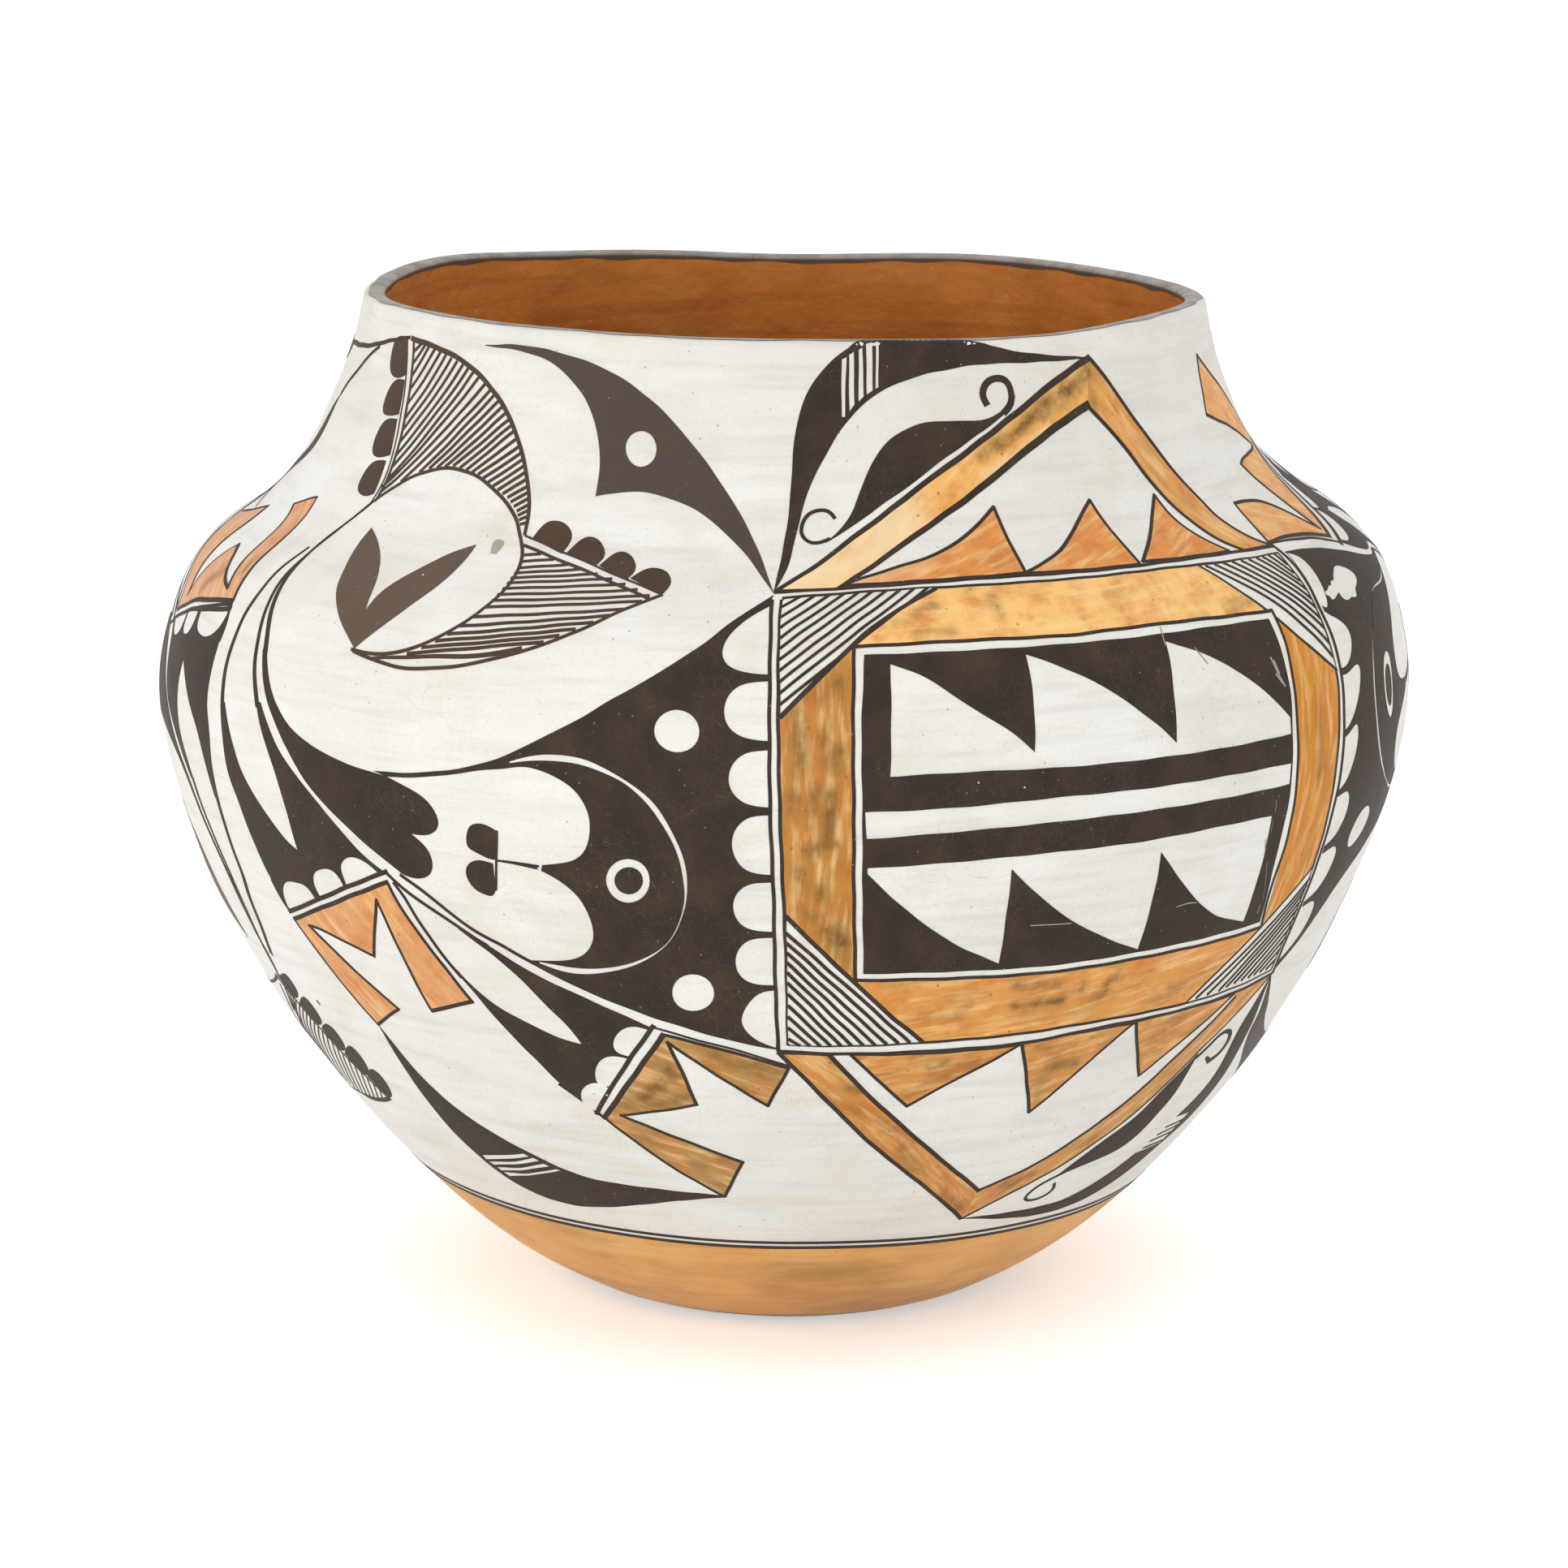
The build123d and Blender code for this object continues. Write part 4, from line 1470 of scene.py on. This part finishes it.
def shell_piece(name, outer, inner, normals, sheet, rows, finish, replaced):
    """A closed thin shell between two grids of the same rows, the first one being the seen face."""
    turns = SKIN_TURNS
    count = rows * turns
    faces = ring_faces(rows, turns) + ring_faces(rows, turns, first=count, flipped=True)
    for turn in range(turns):
        after = (turn + 1) % turns
        faces.append([after, turn, count + turn, count + after])
        top = (rows - 1) * turns
        faces.append([top + turn, top + after, count + top + after, count + top + turn])
    pairs = ((outer, inner), (normals, -normals), (sheet, sheet))
    vertices, directions, places = (np.vstack(pair) for pair in pairs)
    piece(name, vertices, faces, directions, places, finish, replaced)


def rim_height(angle):
    """Height of the rim's top round the mouth."""
    return RIM_LEVEL + RIM_BY_ANGLE(np.mod(angle + pi, tau) - pi) * MM


TURN_ANGLES = np.linspace(-pi, pi, SKIN_TURNS, endpoint=False)


def sheet_rows(low, high, rows):
    """Sheet places in rows from a lower to an upper length, each given round the jar."""
    shares = np.linspace(0, 1, rows)[:, None]
    lengths = low + (high - low) * shares
    angles = np.broadcast_to(TURN_ANGLES * GIRTH, lengths.shape)
    return np.column_stack([angles.ravel(), lengths.ravel()])


def base_line(angle):
    """Length along the outline at which the white slip ends, which is not quite level."""
    return BASE_LINE + BASE_RISE - BASE_TILT * np.sin(angle + BASE_TURN)


def coat(node, places_of, side, low, top, rows, finish):
    """A coat of slip over a CAD node between two lines round the jar, seen from one side of its face."""
    sheet = sheet_rows(low, top, rows)
    normals = side * face_normals(lambda spots: places_of(spots, 0), sheet)
    seen, hidden = places_of(sheet, 0), places_of(sheet, -SKIN_DEPTH)
    shell_piece(node + "_coat", seen, hidden, normals, sheet, rows, finish, [node])


def white_skin(finish):
    top = OUTER.length_at_height(rim_height(TURN_ANGLES) - LIP_ROUND)
    coat("white_slip", outer_places, 1, base_line(TURN_ANGLES), top, SKIN_ROWS, finish)


def underbody_skin(finish):
    foot = np.zeros(SKIN_TURNS)
    top = base_line(TURN_ANGLES)
    coat("underbody_slip", outer_places, 1, foot, top, UNDERBODY_ROWS, finish)


def inner_places(sheet, lift):
    """Points on the face inside the neck, or that far off it towards the axis."""
    angle, length = sheet[:, 0] / GIRTH, sheet[:, 1]
    dents = ripples(DENTS, angle, length)
    fade = np.clip((INNER.length_at_height(RIM_LEVEL) - length) / DENTS_FADE - DENTS_START, 0, 1)
    height = INNER.height(length)
    bulge = unevenness(angle, OUTER.length_at_height(height))
    radius = INNER.radius(length) + bulge - lift - dents * fade * MM
    return np.column_stack([radius * np.sin(angle), -radius * np.cos(angle), height])


def uneven_course(name, finish):
    """A course of the clay wall with the hand-made face's unevenness put into it."""
    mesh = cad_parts[name].data.copy()
    for vertex in mesh.vertices:
        x, y, height = vertex.co
        bulge = unevenness(np.arctan2(x, -y), OUTER.length_at_height(height))
        vertex.co.xy *= 1 + bulge / max(vertex.co.xy.length, CORE_RADIUS)
    mesh.materials.clear()
    mesh.materials.append(finish)
    made = bpy.data.objects.new(name + "_uneven", mesh)
    bpy.context.scene.collection.objects.link(made)
    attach(made, "root")
    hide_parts(name)


def neck_skin(finish):
    top = INNER.length_at_height(rim_height(TURN_ANGLES) - LIP_ROUND)
    coat("neck_lining", inner_places, -1, top, np.zeros(SKIN_TURNS), NECK_ROWS, finish)


def lip_section(angle, turns, depth_outside, depth_inside, lift):
    """Section over the lip at an angle, from its outer face over part of the round top to its inner face."""
    top = rim_height(angle)
    outside = []
    for height in top - np.linspace(depth_outside, LIP_ROUND, LIP_FACE_STEPS):
        bulge = unevenness(angle, OUTER.length_at_height(height))
        outside.append((OUTER.radius_at_height(height) + bulge + lift, height))
    inside_heights = top - np.linspace(LIP_ROUND, depth_inside, LIP_FACE_STEPS)
    inside = [(INNER.radius_at_height(height) - lift, height) for height in inside_heights]
    outer_edge, inner_edge = outside[-1][0], inside[0][0]
    middle, half = (outer_edge + inner_edge) / 2, (outer_edge - inner_edge) / 2
    over = []
    for turn in np.linspace(*turns, LIP_STEPS):
        rise = (LIP_ROUND + lift) * max(sin(turn), 0) ** LIP_SQUARENESS
        over.append((middle + half * cos(turn), top - LIP_ROUND + rise))
    return np.array((outside[:-1] if depth_outside else []) + over + (inside[1:] if depth_inside else []))


def lip_ring(name, turns, depth_outside, depth_inside, lift, finish, replaced=()):
    """A ring swept round the lip from its section, closed by its own underside."""
    sections = []
    for angle in TURN_ANGLES:
        waver = 1 + LIP_WAVER * sum(sin(times * angle + start) for times, start in LIP_WAVES)
        first = turns[0] * waver
        sections.append(lip_section(angle, (first, turns[1]), depth_outside, depth_inside * waver, lift))
    sections = np.array(sections)
    rows = sections.shape[1]
    radius, height = sections[..., 0].T.ravel(), sections[..., 1].T.ravel()
    angles = np.tile(TURN_ANGLES, rows)
    vertices = np.column_stack([radius * np.sin(angles), -radius * np.cos(angles), height])
    faces = ring_faces(rows, SKIN_TURNS)
    last = (rows - 1) * SKIN_TURNS
    for turn in range(SKIN_TURNS):
        after = (turn + 1) % SKIN_TURNS
        faces.append([last + turn, last + after, after, turn])
    sheet = np.column_stack([angles * GIRTH, np.repeat(np.arange(rows), SKIN_TURNS) * MM])
    mesh = bpy.data.meshes.new(name)
    mesh.from_pydata(vertices.tolist(), [], faces[: -SKIN_TURNS])
    mesh.shade_smooth()
    normals = np.array([tuple(vertex.normal) for vertex in mesh.vertices])
    bpy.data.meshes.remove(mesh)
    piece(name, vertices, faces, normals, sheet, finish, replaced)


# Materials


def tone(red, green, blue):
    """Linear colour from the 0 to 255 values that a screen shows."""
    levels = np.array([red, green, blue]) / SCREEN_MOST
    bright = ((levels + SCREEN_OFFSET) / (1 + SCREEN_OFFSET)) ** SCREEN_POWER
    linear = np.where(levels <= SCREEN_KNEE, levels / SCREEN_SLOPE, bright)
    return (*linear, 1.0)


class Finish:
    """A node material that is built up from textures of the jar's own place and of the unrolled sheet."""

    def __init__(self, name):
        self.material = bpy.data.materials.new(name)
        self.material.use_nodes = True
        self.nodes = self.material.node_tree.nodes
        self.shader = self.nodes["Principled BSDF"]

    def node(self, kind, settings=None, **inputs):
        made = self.nodes.new(kind)
        for name, value in (settings or {}).items():
            setattr(made, name, value)
        for name, value in inputs.items():
            self.put(made.inputs[name.replace("_", " ")], value)
        return made

    def put(self, socket, value):
        if isinstance(value, bpy.types.NodeSocket):
            self.material.node_tree.links.new(value, socket)
        else:
            socket.default_value = value

    def sheet(self):
        """Where a point is on the unrolled sheet, turned to the strokes' lean in paint."""
        return self.attribute("sheet", "Vector")

    def place(self, stretch=None):
        """Where a point is in the jar, as it is or stretched, or by two values on the sheet."""
        if stretch is None:
            return self.node("ShaderNodeTexCoord").outputs["Object"]
        spot = self.place() if len(stretch) == 3 else self.sheet()
        return self.node("ShaderNodeMapping", Vector=spot, Scale=(*stretch, 1.0)[:3]).outputs["Vector"]

    def noise(self, size, detail=4.0, rough=0.55, stretch=None):
        """Noise whose features are about a size, in metres."""
        spot = self.place(stretch)
        made = self.node("ShaderNodeTexNoise", Vector=spot, Scale=1 / size, Detail=detail, Roughness=rough)
        return made.outputs["Fac"]

    def cells(self, size, feature):
        """Distance from the middles or from the edges of cells about a size across."""
        made = self.node("ShaderNodeTexVoronoi", {"feature": feature}, Vector=self.place(), Scale=1 / size)
        return made.outputs["Distance"]

    def between(self, value, low, high, flipped=False):
        """0 below low and 1 above high, or the other way round."""
        start, end = (1.0, 0.0) if flipped else (0.0, 1.0)
        span = {"From_Min": low, "From_Max": high, "To_Min": start, "To_Max": end}
        return self.node("ShaderNodeMapRange", Value=value, **span).outputs["Result"]

    def cloudy(self, size, low, high, **grain):
        """A mask of noise about a size, 0 below low and 1 above high."""
        return self.between(self.noise(size, **grain), low, high)

    def flecked(self, size, low, high):
        """A mask of flecks about a size apart, full as far as low from their middles and gone at high."""
        return self.between(self.cells(size, "F1"), low, high, flipped=True)

    def crazed(self, size, width, fields):
        """A mask of fine cracks in some fields."""
        from_edge = self.cells(size, "DISTANCE_TO_EDGE")
        return self.times(self.between(from_edge, 0.0, width, flipped=True), fields)

    def attribute(self, name, output):
        return self.node("ShaderNodeAttribute", {"attribute_name": name}).outputs[output]

    def times(self, first, second):
        made = self.node("ShaderNodeMath", {"operation": "MULTIPLY"})
        self.put(made.inputs[0], first)
        self.put(made.inputs[1], second)
        return made.outputs[0]

    def mix(self, share, first, second):
        """Blend of two colours."""
        made = self.node("ShaderNodeMix", {"data_type": "RGBA"})
        for socket, value in zip(MIX_SOCKETS, (share, first, second)):
            self.put(made.inputs[socket], value)
        return made.outputs[MIX_RESULT]

    def ground(self, mask, first, second):
        """The colour under everything else, two tones blended by a mask."""
        self.colour = self.mix(mask, tone(*first), tone(*second))

    def layer(self, mask, over, share=None):
        """A tone laid over the colour where a mask shows, at a share of its strength where one is given."""
        strength = mask if share is None else self.times(mask, share)
        self.colour = self.mix(strength, self.colour, tone(*over))

    def rough(self, mask, low, high):
        """Roughness that runs from low to high with a mask."""
        spread = self.node("ShaderNodeMapRange", Value=mask, To_Min=low, To_Max=high)
        self.put(self.shader.inputs["Roughness"], spread.outputs["Result"])

    def gloss(self, level):
        self.shader.inputs["Specular IOR Level"].default_value = level

    def done(self, relief, depth):
        """Puts colour and relief on the shader."""
        self.put(self.shader.inputs["Base Color"], self.colour)
        bump = self.node("ShaderNodeBump", Height=relief, Strength=1.0, Distance=depth)
        self.put(self.shader.inputs["Normal"], bump.outputs["Normal"])
        return self.material


def white_slip_finish():
    finish = Finish("white_slip")
    height = finish.node("ShaderNodeSeparateXYZ", Vector=finish.place()).outputs["Z"]
    soiled = finish.between(height, SOILED_FROM, SOILED_TO)
    streaks = finish.cloudy(3 * MM, 0.48, 0.72, detail=5.0, rough=0.65, stretch=ROUND_JAR)
    wipes = finish.cloudy(9 * MM, 0.52, 0.7, detail=5.0, stretch=LONG_ROUND_JAR)
    warm = finish.cloudy(24 * MM, 0.55, 0.75, detail=5.0, rough=0.6)
    grain = finish.cloudy(0.8 * MM, 0.55, 0.75, rough=0.7)
    crazed = finish.crazed(5 * MM, 0.012, fields=finish.cloudy(40 * MM, 0.5, 0.62))
    finish.ground(finish.cloudy(35 * MM, 0.35, 0.7), (240, 239, 234), (231, 227, 218))
    finish.layer(soiled, (208, 203, 192), share=0.25)
    finish.layer(streaks, (206, 201, 191), share=0.45)
    finish.layer(wipes, (250, 250, 247), share=0.35)
    finish.layer(warm, (222, 208, 184), share=0.4)
    finish.layer(grain, (196, 189, 176), share=0.45)
    finish.layer(crazed, (160, 148, 130), share=0.3)
    finish.layer(finish.flecked(5 * MM, 0.03, 0.06), (126, 108, 86), share=0.6)
    finish.gloss(0.25)
    finish.rough(wipes, 0.5, 0.62)
    return finish.done(finish.noise(1.6 * MM, detail=5.0), depth=0.05 * MM)


def black_paint_finish():
    finish = Finish("black_paint")
    clouds = finish.cloudy(9 * MM, 0.4, 0.75, detail=5.0)
    rubbed = finish.cloudy(1.1 * MM, 0.58, 0.78, detail=6.0, rough=0.75)
    crazed = finish.crazed(2.2 * MM, 0.02, fields=finish.cloudy(22 * MM, 0.48, 0.6))
    finish.colour = finish.attribute("wash", "Color")
    finish.layer(clouds, (96, 78, 64), share=0.35)
    finish.layer(rubbed, (118, 99, 83), share=0.45)
    finish.layer(crazed, (150, 138, 122), share=0.2)
    finish.layer(finish.flecked(3.5 * MM, 0.04, 0.07), (176, 168, 156), share=0.45)
    finish.gloss(0.08)
    finish.rough(clouds, 0.5, 0.62)
    return finish.done(finish.noise(1.2 * MM, detail=5.0), depth=0.04 * MM)


def orange_paint_finish():
    finish = Finish("orange_paint")
    smear = finish.attribute("smear", "Fac")
    clouds = finish.cloudy(7 * MM, 0.45, 0.66, detail=6.0, rough=0.62)
    pale = finish.between(smear, 0.0, -1.0)
    streaks = finish.cloudy(2.2 * MM, 0.48, 0.72, detail=5.0, rough=0.6, stretch=LENGTHWISE)
    patches = finish.cloudy(5.5 * MM, 0.47, 0.66, stretch=PATCHES)
    smudge = finish.times(patches, finish.attribute("wash", "Alpha"))
    ragged = finish.cloudy(4.5 * MM, 0.2, 0.62, detail=5.0, rough=0.6)
    dark = finish.times(finish.between(smear, 0.0, 0.75), ragged)
    finish.colour = finish.attribute("wash", "Color")
    finish.layer(clouds, (210, 116, 44), share=0.6)
    finish.layer(pale, (250, 222, 178))
    finish.layer(streaks, (255, 220, 156), share=0.7)
    finish.layer(smudge, (122, 86, 38), share=0.75)
    finish.layer(dark, (122, 88, 40))
    finish.layer(finish.flecked(5 * MM, 0.05, 0.09), (150, 78, 30), share=0.6)
    finish.gloss(0.2)
    finish.rough(streaks, 0.46, 0.58)
    return finish.done(finish.noise(1.2 * MM, detail=5.0), depth=0.04 * MM)


def lip_finish():
    finish = Finish("lip_paint")
    clouds = finish.cloudy(6 * MM, 0.4, 0.68, detail=5.0)
    worn = finish.cloudy(2.2 * MM, 0.58, 0.7, detail=6.0, rough=0.7)
    row = finish.node("ShaderNodeSeparateXYZ", Vector=finish.sheet()).outputs["Y"]
    # Darker band down the lip's inner edge: partly the black paint's own dark, partly painted shade where the
    # lip turns down into the mouth
    edge = finish.between(row, LIP_SHADED_EDGE_ROW * MM, (LIP_SHADED_EDGE_ROW + 1) * MM)
    # The lip's grey, well lighter than the black paint, is partly its worn paint and partly painted sheen
    finish.ground(clouds, (156, 147, 139), (132, 123, 115))
    finish.layer(worn, (190, 168, 143), share=0.8)
    finish.layer(edge, (84, 62, 46), share=0.85)
    finish.rough(clouds, 0.45, 0.6)
    return finish.done(finish.noise(1.5 * MM, detail=5.0), depth=0.1 * MM)


def underbody_finish():
    finish = Finish("underbody_slip")
    clouds = finish.cloudy(22 * MM, 0.35, 0.68, detail=5.0)
    streaks = finish.cloudy(2.4 * MM, 0.45, 0.7, detail=6.0, rough=0.65, stretch=ROUND_JAR)
    smudge = finish.cloudy(14 * MM, 0.5, 0.66, detail=6.0, rough=0.6, stretch=LONG_ROUND_JAR)
    finish.ground(clouds, (232, 174, 100), (212, 148, 76))
    finish.layer(streaks, (238, 196, 130), share=0.55)
    finish.layer(smudge, (146, 110, 60), share=0.5)
    finish.layer(finish.flecked(4 * MM, 0.04, 0.08), (138, 92, 48), share=0.6)
    finish.gloss(0.25)
    finish.rough(streaks, 0.48, 0.62)
    return finish.done(finish.noise(2.0 * MM, detail=5.0), depth=0.06 * MM)


def neck_finish():
    finish = Finish("neck_slip")
    clouds = finish.cloudy(20 * MM, 0.35, 0.68, detail=5.0)
    streaks = finish.cloudy(4 * MM, 0.5, 0.72, detail=6.0, rough=0.6, stretch=ROUND_JAR)
    golden = finish.cloudy(12 * MM, 0.52, 0.7, detail=5.0, stretch=LONG_ROUND_JAR)
    finish.ground(clouds, (226, 142, 66), (202, 120, 52))
    finish.layer(streaks, (140, 82, 36), share=0.5)
    finish.layer(golden, (214, 150, 76), share=0.5)
    finish.layer(finish.flecked(9 * MM, 0.03, 0.06), (214, 196, 168), share=0.7)
    finish.gloss(0.25)
    finish.rough(streaks, 0.5, 0.65)
    return finish.done(finish.noise(4 * MM, detail=6.0, rough=0.6), depth=0.6 * MM)


def clay_finish():
    finish = Finish("clay")
    clouds = finish.cloudy(15 * MM, 0.35, 0.7)
    finish.ground(clouds, (186, 166, 140), (168, 146, 120))
    finish.layer(finish.flecked(2.2 * MM, 0.15, 0.3), (120, 100, 82), share=0.4)
    finish.rough(clouds, 0.75, 0.9)
    return finish.done(finish.noise(1.5 * MM, detail=6.0), depth=0.12 * MM)


def seen_directly(tree):
    """1 for rays from the camera, and for what is seen in gloss or through glass."""
    path = tree.nodes.new("ShaderNodeLightPath")
    share = path.outputs["Is Camera Ray"]
    for name in ("Is Glossy Ray", "Is Transmission Ray"):
        larger = tree.nodes.new("ShaderNodeMath")
        larger.operation = "MAXIMUM"
        tree.links.new(share, larger.inputs[0])
        tree.links.new(path.outputs[name], larger.inputs[1])
        share = larger.outputs[0]
    return share


def strength_to_eye(tree, low, high):
    """A strength that is high for what is seen directly and low as light on the jar."""
    strength = tree.nodes.new("ShaderNodeMapRange")
    if isinstance(low, bpy.types.NodeSocket):
        tree.links.new(low, strength.inputs["To Min"])
    else:
        strength.inputs["To Min"].default_value = low
    strength.inputs["To Max"].default_value = high
    tree.links.new(seen_directly(tree), strength.inputs["Value"])
    return strength.outputs["Result"]


def light_all_round(tree):
    """Light by direction, stronger from low down than from above."""
    place = tree.nodes.new("ShaderNodeTexCoord")
    parts = tree.nodes.new("ShaderNodeSeparateXYZ")
    light = tree.nodes.new("ShaderNodeMapRange")
    tree.links.new(place.outputs["Generated"], parts.inputs["Vector"])
    tree.links.new(parts.outputs["Z"], light.inputs["Value"])
    light.inputs["To Min"].default_value = WORLD_HORIZON
    light.inputs["To Max"].default_value = WORLD_ZENITH
    return light.outputs["Result"]


def floor_finish():
    finish = Finish("floor")
    glow = strength_to_eye(finish.material.node_tree, 0.0, FLOOR_GLOW)
    finish.ground(finish.cloudy(500 * MM, 0.3, 0.7), (246, 246, 245), (250, 250, 249))
    finish.shader.inputs["Emission Color"].default_value = PLAIN_WHITE
    finish.shader.inputs["Roughness"].default_value = FLOOR_ROUGHNESS
    finish.put(finish.shader.inputs["Emission Strength"], glow)
    return finish.done(finish.noise(20 * MM), depth=0.05 * MM)


# Stage


def stage():
    """A plain pale floor, soft light all round and the photograph's camera."""
    mesh = bpy.data.meshes.new("floor")
    corners = [(FLOOR_SIZE * x, FLOOR_SIZE * y, 0) for x, y in ((-1, -1), (1, -1), (1, 1), (-1, 1))]
    mesh.from_pydata(corners, [], [(0, 1, 2, 3)])
    mesh.materials.append(floor_finish())
    floor = bpy.data.objects.new("floor", mesh)
    bpy.context.scene.collection.objects.link(floor)

    world = bpy.data.worlds.new("studio")
    world.use_nodes = True
    tree = world.node_tree
    background = tree.nodes["Background"]
    background.inputs["Color"].default_value = PLAIN_WHITE
    tree.links.new(strength_to_eye(tree, light_all_round(tree), 1.0), background.inputs["Strength"])
    bpy.context.scene.world = world

    for name, place, size, power in LAMPS:
        lamp = bpy.data.lights.new(name, "AREA")
        lamp.size = size
        lamp.energy = power
        hung = bpy.data.objects.new(name, lamp)
        hung.location = place
        hung.rotation_euler = (CAMERA_AIM - Vector(place)).to_track_quat("-Z", "Y").to_euler()
        bpy.context.scene.collection.objects.link(hung)

    camera = bpy.data.cameras.new("camera")
    camera.lens = LENS
    camera.sensor_width = SENSOR
    camera.clip_start = CLIP_START
    seat = bpy.data.objects.new("camera", camera)
    seat.location = CAMERA_PLACE
    seat.rotation_euler = (CAMERA_AIM - CAMERA_PLACE).to_track_quat("-Z", "Y").to_euler()
    bpy.context.scene.collection.objects.link(seat)
    bpy.context.scene.camera = seat
    bpy.context.scene.view_settings.view_transform = "Standard"


def base_lines():
    """The two lines that close the painting above the underbody, drawn all the way round."""
    round_jar = np.arange(-SHEET_TURN / 2, SHEET_TURN / 2 + MESH_STEP, MESH_STEP)
    shapes = []
    for rise, width in BASE_LINES:
        waver = sum(size * np.sin(round_jar / length) for size, length in BASE_WAVES)
        line = np.column_stack([round_jar, base_line(round_jar / GIRTH) + rise + waver])
        shapes.append(Shape(BLACK, brush_outline(line, width, width), "ink"))
    return shapes


def dress():
    """Builds every piece of the jar's look over the frame."""
    black = black_paint_finish()
    white = white_slip_finish()
    white_skin(white)
    underbody_skin(underbody_finish())
    neck_skin(neck_finish())
    clay = clay_finish()
    shapes = round_the_sheet(whole_painting()) + base_lines()
    places, triangles, colours, washes = sheet_triangles(shapes)
    paints = (("black_paint", BLACK, black), ("orange_paint", ORANGE, orange_paint_finish()))
    for name, colour, paint in paints:
        shown = colours == colour
        paint_piece(name, places, triangles[shown], washes[shown], paint)
    lip_ring("rim_coil_lip", (0, pi), LIP_BURIED, LIP_BURIED, -SKIN_DEPTH, clay, ["rim_coil"])
    lip_ring("lip_slip", (0, LIP_SLIP_END), LIP_SLIP_DEPTH, 0, -LIP_SLIP_SINK, white)
    lip_ring("lip_paint", (LIP_PAINT_START, pi), 0, LIP_PAINT_DEPTH, PAINT_LIFT, lip_finish())
    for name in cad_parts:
        if name.startswith(("puki", "coil")):
            uneven_course(name, clay)
    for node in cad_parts.values():
        node.data.materials.clear()
        node.data.materials.append(clay)


dress()
stage()
